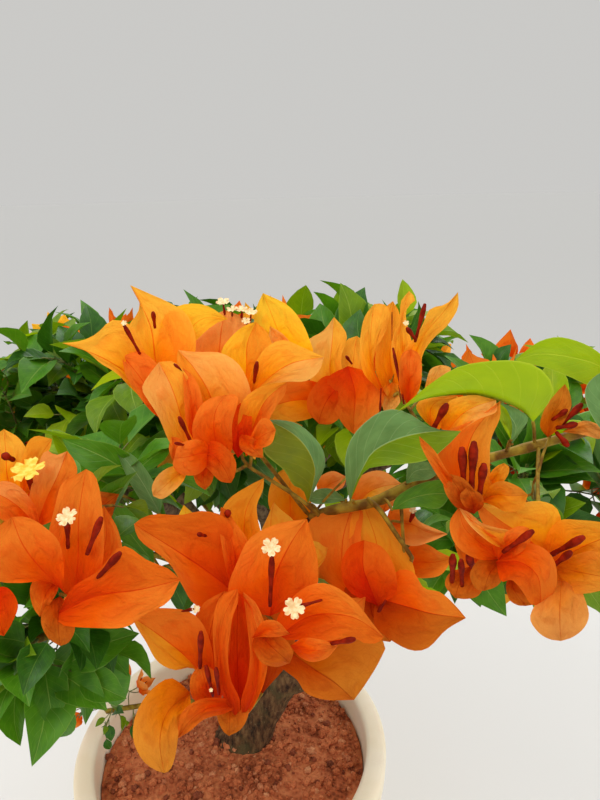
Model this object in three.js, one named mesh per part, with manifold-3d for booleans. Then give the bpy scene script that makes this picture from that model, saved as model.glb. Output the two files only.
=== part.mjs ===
// A potted bougainvillea bush: a round cream plastic pot filled with red laterite grit, a short
// leaning trunk, and arching boughs that carry masses of orange bracts and of green leaves.
// Millimetres, +Z up, the origin at the middle of the pot's underside, and -Y the front.
import * as THREE from "three";
import { mergeVertices } from "three/addons/utils/BufferGeometryUtils.js";
import Module from "manifold-3d";

const wasm = await Module();
wasm.setup();

// Driving dimensions
const pot = {
  rimRadius: 210,
  height: 330,
  footRadius: 145,
  shoulderRadius: 188,
  wall: 7,
  rimWidth: 27,
  rimHeight: 40,
  edge: 5,
  floor: 9,
  segments: 42,
};
const soil = { belowRim: 32, moundRadius: 62, fall: 8, segments: 32 };
const seat = 0.3; // clearance between two pieces that touch
const cutGap = 0.5; // how far a piece keeps from one that it was cut by
const trunk = {
  foot: [20, 34],
  fork: [84, 22],
  forkHeight: 134,
  sunk: 32, // its rings start this far below the soil's top, and are cut off flat there
  radius: 31,
  flare: 46,
  ridges: 5,
  ridgeDepth: 0.13,
  sides: 18,
  steps: 9,
};
const stub = { along: 0.74, length: 36, radius: 15, turn: -20, lift: 28, sides: 10, steps: 2 };
const crown = { middle: [20, 20] };
const inner = { reach: 165, height: 836, half: [88, 98, 82], first: -20, spread: 360, frontLift: 0.22 };
const outer = { reach: 350, height: 786, half: [98, 124, 88], first: -38, spread: 305, frontLift: 0.1 };
const low = { reach: 236, height: 655, half: [74, 96, 62], first: 62, spread: 190, frontLift: 0 };
const wander = { reach: 0.05, height: 18, half: 0.09 }; // how unlike its neighbours a mass may be
const lobes = { count: 7, height: 0.2, sharpness: 5, hollow: 0.88 };
const limbSides = 6;
const limbSteps = 6;

const colours = {
  pot: 0xe6cf9f,
  soil: 0x9c4a2c,
  bark: 0x5b4a38,
  bough: 0x7c6a3e,
  bracts: 0xe8700f,
  leaves: 0x4f8a22,
};
const soilTop = pot.height - soil.belowRim;

// A seeded row of numbers from 0 to 1
function dice(seed) {
  let state = seed;
  return () => {
    state = (state * 1664525 + 1013904223) >>> 0;
    return state / 4294967296;
  };
}

// The masses at the front, each with its middle and its half widths
const frontMasses = [
  { name: "bracts_front_top", middle: [55, -379, 950], half: [65, 50, 55] },
  { name: "bracts_front_upper_right", middle: [151, -340, 946], half: [38, 40, 48] },
  { name: "bracts_front_low", middle: [82, -439, 866], half: [54, 44, 63] },
  { name: "bracts_front_lower_right", middle: [158, -384, 850], half: [38, 34, 38] },
  { name: "bracts_front_right", middle: [212, -422, 894], half: [46, 38, 54] },
  { name: "bracts_front_left", middle: [-2, -437, 902], half: [54, 40, 46] },
  { name: "bracts_front_tip", middle: [352, -366, 940], half: [50, 42, 40] },
  { name: "leaves_front_right", middle: [220, -360, 962], half: [62, 34, 28] },
  { name: "leaves_front_left", middle: [-31, -292, 857], half: [45, 44, 42] },
  { name: "leaves_lower_left", middle: [-92, -292, 736], half: [64, 50, 46] },
  { name: "leaves_over_rim", middle: [-166, -6, 384], half: [56, 42, 30] },
];

// A ring of masses round the crown, dealt out evenly by angle and each a little unlike the next
function ringOf(kind, ring, sides, seed) {
  const roll = dice(seed);
  const stray = (most) => (roll() * 2 - 1) * most;
  return sides.map((side, i) => {
    const turn = THREE.MathUtils.degToRad(ring.first + (i * ring.spread) / sides.length);
    const reach = ring.reach * (1 + stray(wander.reach));
    const x = crown.middle[0] + reach * Math.cos(turn);
    const y = crown.middle[1] + reach * Math.sin(turn);
    const height = ring.height - ring.frontLift * y + stray(wander.height);
    const half = ring.half.map((size) => size * (1 + stray(wander.half)));
    return { name: `${kind}_${side}`, middle: [x, y, height], half, turn };
  });
}
const innerSides = ["right", "back_right", "back_left", "left", "front"];
const outerSides = ["front_right", "right", "back_right", "back", "back_left", "left", "front_left"];
const lowSides = ["back", "back_left", "left"];
const masses = [
  ...frontMasses,
  { name: "bracts_top", middle: [26, 24, 862], half: [80, 76, 52] },
  ...ringOf("leaves_inner", inner, innerSides, 5),
  ...ringOf("bracts_outer", outer, outerSides, 11),
  ...ringOf("leaves_low", low, lowSides, 3),
];

// A limb runs from a share of the way along another one to a mass or a fork. Its bow says how far
// out and how far up its bend lies, as shares of the way to its end.
function limb(name, from, at, to, base, tip, bow = [0.22, 0.62]) {
  return { name, from, at, to, base, tip, bow };
}
const forkTip = [109, -377, 878];
const leaderTip = [66, -4, 640];
const level = [0.5, 0.5];
const arching = [0.5, 0.72];
const limbs = [
  limb("leader", "trunk", 0.94, leaderTip, 21, 12, [0.6, 0.5]),
  limb("bough_front", "trunk", 0.89, forkTip, 10, 3.6, [0.32, 0.72]),
  limb("bough_front_left", "trunk", 0.78, "leaves_front_left", 9, 3.5, [0.3, 0.7]),
  limb("bough_inner_left", "trunk", 0.73, "leaves_inner_left", 10, 4.5),
  limb("bough_inner_back_left", "trunk", 0.95, "leaves_inner_back_left", 11, 4.5),
  limb("bough_inner_back_right", "leader", 0.5, "leaves_inner_back_right", 9, 4.5),
  limb("bough_inner_right", "leader", 0.92, "leaves_inner_right", 9, 4.5),
  limb("bough_inner_front", "leader", 0.75, "leaves_inner_front", 7, 4),
  limb("bough_top", "leader", 0.98, "bracts_top", 9, 4),
  limb("shoot_over_rim", "trunk", 0.44, "leaves_over_rim", 4, 3, [0.4, 1.15]),
  limb("branch_front_right", "bough_front", 0.98, "bracts_front_tip", 3.4, 2.5, [0.5, 0.7]),
  limb("branch_front_top", "bough_front", 0.98, "bracts_front_top", 2.6, 2.1, [0.5, 0.6]),
  limb("branch_front_low", "bough_front", 0.9, "bracts_front_low", 2.6, 2.1, level),
  limb("branch_front_upper_right", "branch_front_right", 0.3, "bracts_front_upper_right", 2.4, 2, [0.3, 0.5]),
  limb("branch_front_lower_right", "branch_front_right", 0.2, "bracts_front_lower_right", 2.4, 2, level),
  limb("branch_front_far_right", "branch_front_right", 0.5, "bracts_front_right", 2.4, 2, level),
  limb("branch_front_leaves", "branch_front_right", 0.36, "leaves_front_right", 2.4, 2, level),
  limb("branch_front_left", "bough_front_left", 0.62, "bracts_front_left", 4, 3, [0.62, 0.35]),
  limb("branch_lower_left", "bough_front_left", 0.42, "leaves_lower_left", 4, 3, [0.5, 0.6]),
  limb("branch_outer_front_right", "bough_inner_right", 0.35, "bracts_outer_front_right", 5, 3.5, arching),
  limb("branch_outer_right", "bough_inner_right", 0.2, "bracts_outer_right", 5, 3.5, arching),
  limb("branch_outer_back_right", "bough_inner_back_right", 0.4, "bracts_outer_back_right", 5, 3.5, arching),
  limb("branch_outer_back", "bough_inner_back_left", 0.5, "bracts_outer_back", 5, 3.5, arching),
  limb("branch_outer_back_left", "bough_inner_back_left", 0.4, "bracts_outer_back_left", 5, 3.5, arching),
  limb("branch_outer_left", "bough_inner_left", 0.5, "bracts_outer_left", 5, 3.5, arching),
  limb("branch_outer_front_left", "bough_inner_left", 0.35, "bracts_outer_front_left", 5, 3.5, arching),
  limb("branch_low_back", "bough_inner_back_left", 0.22, "leaves_low_back", 4, 3),
  limb("branch_low_back_left", "bough_inner_back_left", 0.15, "leaves_low_back_left", 4, 3),
  limb("branch_low_left", "bough_inner_left", 0.25, "leaves_low_left", 4, 3),
];

function solidOf(geometry) {
  const bare = geometry.clone();
  bare.deleteAttribute("normal");
  bare.deleteAttribute("uv");
  const merged = mergeVertices(bare, 1e-3);
  const vertProperties = merged.attributes.position.array;
  const triVerts = new Uint32Array(merged.index.array);
  return new wasm.Manifold(new wasm.Mesh({ numProp: 3, vertProperties, triVerts }));
}

function geometryOf(solid) {
  const made = solid.getMesh();
  const geometry = new THREE.BufferGeometry();
  geometry.setAttribute("position", new THREE.BufferAttribute(made.vertProperties, made.numProp));
  geometry.setIndex(new THREE.BufferAttribute(made.triVerts, 1));
  return geometry;
}

// A cutter can leave slivers of a piece beyond it, and only the largest is kept
function largest(solid) {
  const found = solid.decompose();
  return found.reduce((a, b) => (b.volume() > a.volume() ? b : a));
}

function lathe(profile, segments) {
  const points = profile.map(([radius, height]) => new THREE.Vector2(radius, height));
  return new THREE.LatheGeometry(points, segments).rotateX(Math.PI / 2);
}

// The pot: a tapering wall, a flat floor, and a thick turned-out rim with rounded edges
function potGeometry() {
  const top = pot.height;
  const under = top - pot.rimHeight;
  const mouth = pot.rimRadius - pot.rimWidth;
  return lathe(
    [
      [0, 0],
      [pot.footRadius - 4, 0],
      [pot.footRadius, 4],
      [pot.shoulderRadius, under],
      [pot.rimRadius - 3, under],
      [pot.rimRadius - 1, under + 2],
      [pot.rimRadius, top - pot.edge],
      [pot.rimRadius - pot.edge, top],
      [mouth + pot.edge, top],
      [mouth, top - pot.edge],
      [pot.shoulderRadius - pot.wall, under],
      [pot.footRadius - pot.wall, pot.floor],
      [0, pot.floor],
    ],
    pot.segments,
  );
}

// Distance from the axis to the pot's inner wall at a height
function innerWall(height) {
  const share = (height - pot.floor) / (pot.height - pot.rimHeight - pot.floor);
  const across = pot.shoulderRadius - pot.footRadius;
  return pot.footRadius - pot.wall + across * Math.min(share, 1);
}

// The filling of grit: it follows the pot's wall and is mounded at the trunk
function soilGeometry() {
  const clear = 0.8; // the faceted wall comes this much nearer the axis between its corners
  const edge = soilTop - soil.fall;
  const turn = Math.cos(Math.PI / pot.segments);
  const foot = innerWall(pot.floor) * turn - clear;
  const wall = innerWall(edge) * turn - clear;
  return lathe(
    [
      [0, pot.floor + seat],
      [foot, pot.floor + seat],
      [wall, edge],
      [(soil.moundRadius + wall) / 2, soilTop - soil.fall / 3],
      [soil.moundRadius, soilTop],
      [0, soilTop],
    ],
    soil.segments,
  );
}

// A closed cylinder whose rings are carried along a path, and whose skin is moved out to a radius
function carried(path, sides, steps, radiusAt) {
  const geometry = new THREE.CylinderGeometry(1, 1, 1, sides, steps);
  const place = geometry.attributes.position;
  const frames = path.computeFrenetFrames(steps, false);
  for (let i = 0; i < place.count; i++) {
    const along = THREE.MathUtils.clamp(0.5 - place.getY(i), 0, 1);
    const ring = Math.round(along * steps);
    const [x, z] = [place.getX(i), place.getZ(i)];
    const radius = radiusAt(along, Math.atan2(z, x));
    const point = path
      .getPoint(along)
      .addScaledVector(frames.normals[ring], x * radius)
      .addScaledVector(frames.binormals[ring], z * radius);
    place.setXYZ(i, point.x, point.y, point.z);
  }
  const solid = solidOf(geometry);
  if (solid.volume() > 0) return geometry;
  const turned = geometry.index.array;
  for (let i = 0; i < turned.length; i += 3) [turned[i], turned[i + 1]] = [turned[i + 1], turned[i]];
  return geometry;
}

// The trunk's middle line: it leans to the right and a little to the front
function trunkPath() {
  const foot = new THREE.Vector3(...trunk.foot, soilTop);
  const fork = new THREE.Vector3(...trunk.fork, soilTop + trunk.forkHeight);
  const root = foot.clone().lerp(fork, -trunk.sunk / trunk.forkHeight);
  const bend = root.clone().lerp(fork, 0.5).add(new THREE.Vector3(-7, 3, 6));
  return new THREE.QuadraticBezierCurve3(root, bend, fork);
}

// The trunk with its root flare, its ridges and the stub of a bough that was cut off
function trunkSolid(grow = 0) {
  const path = trunkPath();
  const body = carried(path, trunk.sides, trunk.steps, (along, turn) => {
    const flare = trunk.flare * Math.exp(-along * 5);
    const ridge = 1 + trunk.ridgeDepth * Math.cos(trunk.ridges * turn + 4 * along);
    const swell = 1 + 0.07 * Math.sin(9 * along + 2 * turn);
    return (trunk.radius * swell + flare) * ridge * (1 - 0.1 * along) + grow;
  });
  const middle = path.getPoint(stub.along);
  const turn = THREE.MathUtils.degToRad(stub.turn);
  const lift = THREE.MathUtils.degToRad(stub.lift);
  const flat = Math.cos(lift);
  const way = new THREE.Vector3(Math.cos(turn) * flat, Math.sin(turn) * flat, Math.sin(lift));
  const end = middle.clone().addScaledVector(way, trunk.radius + stub.length);
  const stubRadius = (along) => stub.radius * (1.2 - 0.25 * along) + grow;
  const cut = carried(new THREE.LineCurve3(middle, end), stub.sides, stub.steps, stubRadius);
  const above = new THREE.BoxGeometry(400, 400, 400).translate(...trunk.foot, soilTop + seat + 200 - grow);
  return solidOf(body).add(solidOf(cut)).intersect(solidOf(above));
}

// One uneven mass: a ball whose skin bulges at seeded lobes and sinks a little between them
function massGeometry(mass, grow = 0) {
  const roll = dice(1 + masses.indexOf(mass) * 7919);
  const bulges = Array.from({ length: lobes.count }, () => {
    const up = roll() * 2 - 1;
    const turn = roll() * Math.PI * 2;
    const flat = Math.sqrt(1 - up * up);
    return new THREE.Vector3(flat * Math.cos(turn), flat * Math.sin(turn), up);
  });
  const geometry = new THREE.IcosahedronGeometry(1, 2);
  const place = geometry.attributes.position;
  for (let i = 0; i < place.count; i++) {
    const way = new THREE.Vector3().fromBufferAttribute(place, i).normalize();
    const nearest = Math.max(...bulges.map((bulge) => way.dot(bulge)));
    const out = lobes.hollow + lobes.height * Math.pow(Math.max(nearest, 0), lobes.sharpness);
    const point = way.clone().multiply(new THREE.Vector3(...mass.half)).multiplyScalar(out);
    point.addScaledVector(way, grow);
    place.setXYZ(i, point.x, point.y, point.z);
  }
  return geometry.rotateZ(mass.turn ?? 0).translate(...mass.middle);
}

const paths = new Map();
function limbStart(limb) {
  if (limb.from === "trunk") return trunkPath().getPoint(limb.at);
  return paths.get(limb.from).getPoint(limb.at);
}

// A limb's middle line: it climbs first and then bows out towards its end
function limbPath(limb) {
  const [outShare, upShare] = limb.bow;
  const start = limbStart(limb);
  const goal = Array.isArray(limb.to) ? limb.to : masses.find((mass) => mass.name === limb.to).middle;
  const end = new THREE.Vector3(...goal);
  const bend = start.clone().lerp(end, outShare);
  bend.z = start.z + (end.z - start.z) * upShare;
  return new THREE.QuadraticBezierCurve3(start, bend, end);
}

function limbSolid(limb, grow = 0) {
  const radiusAt = (along) => THREE.MathUtils.lerp(limb.base, limb.tip, along) + grow;
  return solidOf(carried(paths.get(limb.name), limbSides, limbSteps, radiusAt));
}

const bush = new THREE.Group();
bush.name = "bougainvillea_bush";

function addPiece(name, geometry, color, roughness) {
  const mesh = new THREE.Mesh(geometry, new THREE.MeshStandardMaterial({ color, roughness, metalness: 0 }));
  mesh.name = name;
  bush.add(mesh);
}

addPiece("pot", potGeometry(), colours.pot, 0.45);
addPiece("soil", soilGeometry(), colours.soil, 0.95);
addPiece("trunk", geometryOf(trunkSolid()), colours.bark, 0.9);

// Each mass is cut back from those before it, so that neighbours meet without sharing space
const grownMasses = [];
for (const mass of masses) {
  let solid = solidOf(massGeometry(mass));
  for (const grown of grownMasses) solid = solid.subtract(grown);
  addPiece(mass.name, geometryOf(largest(solid)), colours[mass.name.split("_")[0]], 0.7);
  grownMasses.push(solidOf(massGeometry(mass, cutGap)));
}

// Each limb starts on the skin of what it grows from and ends on the skin of its mass
const grownLimbs = [trunkSolid(cutGap)];
for (const limb of limbs) {
  paths.set(limb.name, limbPath(limb));
  let solid = limbSolid(limb);
  for (const grown of [...grownLimbs, ...grownMasses]) solid = solid.subtract(grown);
  addPiece(limb.name, geometryOf(largest(solid)), colours.bough, 0.85);
  grownLimbs.push(limbSolid(limb, cutGap));
}

export default bush;
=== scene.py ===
import math

import bpy
import numpy as np
from mathutils import Matrix, Vector, noise


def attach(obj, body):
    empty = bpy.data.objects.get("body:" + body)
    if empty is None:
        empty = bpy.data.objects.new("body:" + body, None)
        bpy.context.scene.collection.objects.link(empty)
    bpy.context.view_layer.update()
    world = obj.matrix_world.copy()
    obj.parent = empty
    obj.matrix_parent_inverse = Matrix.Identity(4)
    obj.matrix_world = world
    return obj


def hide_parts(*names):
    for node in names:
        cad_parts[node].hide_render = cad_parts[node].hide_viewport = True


# A potted bougainvillea bush. Sizes in the tables are in millimetres unless a note says otherwise.
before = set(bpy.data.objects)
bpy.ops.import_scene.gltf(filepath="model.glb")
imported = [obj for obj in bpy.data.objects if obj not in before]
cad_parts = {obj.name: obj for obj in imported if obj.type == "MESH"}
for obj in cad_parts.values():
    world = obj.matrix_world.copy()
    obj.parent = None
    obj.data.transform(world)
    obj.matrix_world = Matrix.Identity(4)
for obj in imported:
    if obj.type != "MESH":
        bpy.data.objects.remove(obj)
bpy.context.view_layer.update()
mm = 0.001
noise.seed_set(12)  # or noise_vector takes its seed from the clock
print("frame loaded")


# Small helpers
def linear(hexColour):
    parts = [int(hexColour[i:i + 2], 16) / 255 for i in (1, 3, 5)]
    return tuple(c / 12.92 if c <= 0.04045 else ((c + 0.055) / 1.055) ** 2.4 for c in parts) + (1.0,)


def addNode(tree, kind, inputs=None, stops=None, **settings):
    # an input is a number or colour, a socket, or a node that stands for its first output
    node = tree.nodes.new(kind)
    for name, value in settings.items():
        setattr(node, name, value)
    for place, (at, colour) in enumerate(stops or []):
        ramp = node.color_ramp.elements
        stop = ramp[place] if place < len(ramp) else ramp.new(at)
        stop.position = at
        stop.color = linear(colour)
    for key, value in (inputs or {}).items():
        if isinstance(value, bpy.types.Node):
            value = value.outputs[0]
        if isinstance(value, bpy.types.NodeSocket):
            tree.links.new(value, node.inputs[key])
        else:
            node.inputs[key].default_value = value
    return node


def newMaterial(name):
    material = bpy.data.materials.new(name)
    material.use_nodes = True
    tree = material.node_tree
    tree.nodes.clear()
    return material, tree


def finishMaterial(tree, shader):
    addNode(tree, "ShaderNodeOutputMaterial", {"Surface": shader})


def nothingSelected():
    if bpy.context.mode != "OBJECT":
        bpy.ops.object.mode_set(mode="OBJECT")
    bpy.ops.object.select_all(action="DESELECT")


def only(thing):
    nothingSelected()
    thing.select_set(True)
    bpy.context.view_layer.objects.active = thing


def along(path, share):
    start, bend, end = path
    return (1 - share) ** 2 * start + 2 * (1 - share) * share * bend + share ** 2 * end


def shares(count, first=0.0, last=1.0):
    return [first + (last - first) * i / (count - 1) for i in range(count)]


def unit(vector):
    return vector / (np.linalg.norm(vector) + 1e-12)


# Camera, at the photograph's viewing angle
photo = {
    "place": (104, -674, 1046),
    "pitch": 18.8,  # degrees down
    "roll": -1.4,
    "focal": 630.0,  # pixels
    "size": (600, 800),
    "sensor": 36,
}
pitch, roll = math.radians(photo["pitch"]), math.radians(photo["roll"])
eye = np.array(photo["place"]) * mm
ahead = np.array([0, math.cos(pitch), -math.sin(pitch)])
flatRight = np.array([1.0, 0, 0])
flatUp = np.cross(flatRight, ahead)
eyeRight = math.cos(roll) * flatRight + math.sin(roll) * flatUp
eyeUp = math.cos(roll) * flatUp - math.sin(roll) * flatRight


def seenAt(x, y, depth):
    # the place that the photograph shows at x, y, this far ahead of the eye; or an array of places
    x, y, depth = (np.asarray(value, dtype=float)[..., None] for value in (x, y, depth))
    across = (x - photo["size"][0] / 2) / photo["focal"]
    down = (y - photo["size"][1] / 2) / photo["focal"]
    return eye + depth * (ahead + across * eyeRight - down * eyeUp)


def depthOf(point):
    return float(np.dot(np.asarray(point) - eye, ahead))


cameraData = bpy.data.cameras.new("camera")
camera = bpy.data.objects.new("camera", cameraData)
bpy.context.scene.collection.objects.link(camera)
bpy.context.scene.camera = camera
cameraData.sensor_width = photo["sensor"]
cameraData.lens = photo["focal"] * photo["sensor"] / photo["size"][1]
cameraData.clip_start = 20 * mm
camera.matrix_world = Matrix((
    (eyeRight[0], eyeUp[0], -ahead[0], eye[0]),
    (eyeRight[1], eyeUp[1], -ahead[1], eye[1]),
    (eyeRight[2], eyeUp[2], -ahead[2], eye[2]),
    (0, 0, 0, 1),
))


# The limbs' middle lines and the masses, as the frame has them
bedHeight = 298
trunkShape = {
    "foot": (20, 34),
    "fork": (84, 22),
    "forkHeight": 134,
    "bow": (-7, 3, 6),  # how far its middle stands off the straight line
    "sunk": 32,  # how far its root goes on below the soil
    "radius": 30,
    "flare": 20,
    "flareFade": 5,
    "taper": 0.1,
}
stubShape = {"along": 0.74, "length": 36, "radius": 15, "turn": -20, "lift": 28, "steps": 8,
             "swell": (1.2, 0.25)}
crownMiddle = (20, 20)
innerRing = {"reach": 165, "height": 836, "half": (88, 98, 82), "first": -20, "spread": 360, "lift": 0.22}
outerRing = {"reach": 350, "height": 786, "half": (98, 124, 88), "first": -38, "spread": 305, "lift": 0.1}
lowRing = {"reach": 236, "height": 655, "half": (74, 96, 62), "first": 62, "spread": 190, "lift": 0}
stray = {"reach": 0.05, "height": 18, "half": 0.09}
chanceRule = {"times": 1664525, "plus": 1013904223, "within": 2 ** 32}  # as the frame's own masses stray

# name: middle, half sizes and turn
masses = {
    "bracts_front_top": ((55, -379, 950), (65, 50, 55), 0),
    "bracts_front_upper_right": ((151, -340, 946), (38, 40, 48), 0),
    "bracts_front_low": ((82, -439, 866), (54, 44, 63), 0),
    "bracts_front_lower_right": ((158, -384, 850), (38, 34, 38), 0),
    "bracts_front_right": ((212, -422, 894), (46, 38, 54), 0),
    "bracts_front_left": ((-2, -437, 902), (54, 40, 46), 0),
    "bracts_front_tip": ((352, -366, 940), (50, 42, 40), 0),
    "leaves_front_right": ((220, -360, 962), (62, 34, 28), 0),
    "leaves_front_left": ((-31, -292, 857), (45, 44, 42), 0),
    "leaves_lower_left": ((-92, -292, 736), (64, 50, 46), 0),
    "leaves_over_rim": ((-166, -6, 384), (56, 42, 30), 0),
    "bracts_top": ((26, 24, 862), (80, 76, 52), 0),
}


def ringOf(kind, ring, sides, seed):
    state = seed

    def strayBy(most):
        nonlocal state
        state = (state * chanceRule["times"] + chanceRule["plus"]) % chanceRule["within"]
        return (state / chanceRule["within"] * 2 - 1) * most

    for i, side in enumerate(sides):
        turn = math.radians(ring["first"] + i * ring["spread"] / len(sides))
        reach = ring["reach"] * (1 + strayBy(stray["reach"]))
        x = crownMiddle[0] + reach * math.cos(turn)
        y = crownMiddle[1] + reach * math.sin(turn)
        height = ring["height"] - ring["lift"] * y + strayBy(stray["height"])
        half = tuple(size * (1 + strayBy(stray["half"])) for size in ring["half"])
        masses[f"{kind}_{side}"] = ((x, y, height), half, turn)


ringOf("leaves_inner", innerRing, ["right", "back_right", "back_left", "left", "front"], 5)
ringOf("bracts_outer", outerRing,
       ["front_right", "right", "back_right", "back", "back_left", "left", "front_left"], 11)
ringOf("leaves_low", lowRing, ["back", "back_left", "left"], 3)

# name: what it grows from, how far along that, where it goes, radius at its foot and at its tip, bow
level, arching, climbing = (0.5, 0.5), (0.5, 0.72), (0.22, 0.62)
limbs = {
    "leader": ("trunk", 0.94, (66, -4, 640), 21, 12, (0.6, 0.5)),
    "bough_front": ("trunk", 0.89, (109, -377, 878), 10, 3.6, (0.32, 0.72)),
    "bough_front_left": ("trunk", 0.78, "leaves_front_left", 9, 3.5, (0.3, 0.7)),
    "bough_inner_left": ("trunk", 0.73, "leaves_inner_left", 10, 4.5, climbing),
    "bough_inner_back_left": ("trunk", 0.95, "leaves_inner_back_left", 11, 4.5, climbing),
    "bough_inner_back_right": ("leader", 0.5, "leaves_inner_back_right", 9, 4.5, climbing),
    "bough_inner_right": ("leader", 0.92, "leaves_inner_right", 9, 4.5, climbing),
    "bough_inner_front": ("leader", 0.75, "leaves_inner_front", 7, 4, climbing),
    "bough_top": ("leader", 0.98, "bracts_top", 9, 4, climbing),
    "shoot_over_rim": ("trunk", 0.44, "leaves_over_rim", 4, 3, (0.4, 1.15)),
    "branch_front_right": ("bough_front", 0.98, "bracts_front_tip", 3.4, 2.5, (0.5, 0.7)),
    "branch_front_top": ("bough_front", 0.98, "bracts_front_top", 2.6, 2.1, (0.5, 0.6)),
    "branch_front_low": ("bough_front", 0.9, "bracts_front_low", 2.6, 2.1, level),
    "branch_front_upper_right": ("branch_front_right", 0.3, "bracts_front_upper_right", 2.4, 2, (0.3, 0.5)),
    "branch_front_lower_right": ("branch_front_right", 0.2, "bracts_front_lower_right", 2.4, 2, level),
    "branch_front_far_right": ("branch_front_right", 0.5, "bracts_front_right", 2.4, 2, level),
    "branch_front_leaves": ("branch_front_right", 0.36, "leaves_front_right", 2.4, 2, level),
    "branch_front_left": ("bough_front_left", 0.62, "bracts_front_left", 4, 3, (0.62, 0.35)),
    "branch_lower_left": ("bough_front_left", 0.42, "leaves_lower_left", 4, 3, (0.5, 0.6)),
    "branch_outer_front_right": ("bough_inner_right", 0.35, "bracts_outer_front_right", 5, 3.5, arching),
    "branch_outer_right": ("bough_inner_right", 0.2, "bracts_outer_right", 5, 3.5, arching),
    "branch_outer_back_right": ("bough_inner_back_right", 0.4, "bracts_outer_back_right", 5, 3.5, arching),
    "branch_outer_back": ("bough_inner_back_left", 0.5, "bracts_outer_back", 5, 3.5, arching),
    "branch_outer_back_left": ("bough_inner_back_left", 0.4, "bracts_outer_back_left", 5, 3.5, arching),
    "branch_outer_left": ("bough_inner_left", 0.5, "bracts_outer_left", 5, 3.5, arching),
    "branch_outer_front_left": ("bough_inner_left", 0.35, "bracts_outer_front_left", 5, 3.5, arching),
    "branch_low_back": ("bough_inner_back_left", 0.22, "leaves_low_back", 4, 3, climbing),
    "branch_low_back_left": ("bough_inner_back_left", 0.15, "leaves_low_back_left", 4, 3, climbing),
    "branch_low_left": ("bough_inner_left", 0.25, "leaves_low_left", 4, 3, climbing),
}
foot = np.array([*trunkShape["foot"], bedHeight]) * mm
fork = np.array([*trunkShape["fork"], bedHeight + trunkShape["forkHeight"]]) * mm
root = foot + (foot - fork) * trunkShape["sunk"] / trunkShape["forkHeight"]
paths = {"trunk": (root, (root + fork) / 2 + np.array(trunkShape["bow"]) * mm, fork)}
limbInto = {}  # mass: the limb that ends in it
for name, (parent, at, goal, base, tip, (outShare, upShare)) in limbs.items():
    start = along(paths[parent], at)
    end = np.array(masses[goal][0] if isinstance(goal, str) else goal) * mm
    bend = start + (end - start) * outShare
    bend[2] = start[2] + (end[2] - start[2]) * upShare
    paths[name] = (start, bend, end)
    if isinstance(goal, str):
        limbInto[goal] = name
footRadius = {name: row[3] for name, row in limbs.items()}
tipRadius = {name: row[4] for name, row in limbs.items()}


def limbRadius(name, share):
    return (footRadius[name] + (tipRadius[name] - footRadius[name]) * share) * mm


# Pot
potShape = {
    "segments": 128,
    # radius and height of the turned outline: underside, wall, rim, and down the inside to the floor
    "outline": [
        (60, 0), (130, 0), (141, 0), (143.6, 1.2), (145, 4), (147.5, 20), (160, 105), (173, 190), (184, 264),
        (187.4, 286), (188.2, 289.4), (190.5, 290), (204, 290), (206.6, 290.8), (208.2, 293), (209, 300),
        (209.8, 320), (209.3, 325), (207, 328.6), (203, 330), (197, 330), (189, 329.6), (185, 327.8),
        (183.2, 324.5), (182.6, 318), (181.6, 292), (180.2, 286), (176, 262), (164, 180), (138, 9), (60, 9),
    ],
}


def turned(name, outline, segments, smoothWithin=50):
    # a ring of edges drawn out row by row, as on a lathe
    nothingSelected()
    radius, height = outline[0]
    bpy.ops.mesh.primitive_circle_add(vertices=segments, radius=radius * mm, location=(0, 0, height * mm))
    piece = bpy.context.active_object
    piece.name = name
    bpy.ops.object.transform_apply(location=True)
    bpy.ops.object.mode_set(mode="EDIT")
    bpy.ops.mesh.select_all(action="SELECT")
    bpy.ops.mesh.extrude_edges_move()
    bpy.ops.mesh.merge(type="CENTER")
    bpy.ops.mesh.select_all(action="SELECT")
    bpy.ops.mesh.region_to_loop()
    for radiusNext, heightNext in outline[1:]:
        bpy.ops.mesh.extrude_edges_move(
            TRANSFORM_OT_translate={"value": (0, 0, (heightNext - height) * mm)})
        grow = radiusNext / radius
        bpy.ops.transform.resize(value=(grow, grow, 1), center_override=(0, 0, heightNext * mm))
        radius, height = radiusNext, heightNext
    bpy.ops.mesh.extrude_edges_move()
    bpy.ops.mesh.merge(type="CENTER")
    bpy.ops.mesh.select_all(action="SELECT")
    bpy.ops.mesh.normals_make_consistent(inside=False)
    bpy.ops.object.mode_set(mode="OBJECT")
    bpy.ops.object.shade_smooth_by_angle(angle=math.radians(smoothWithin))
    return piece


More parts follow.
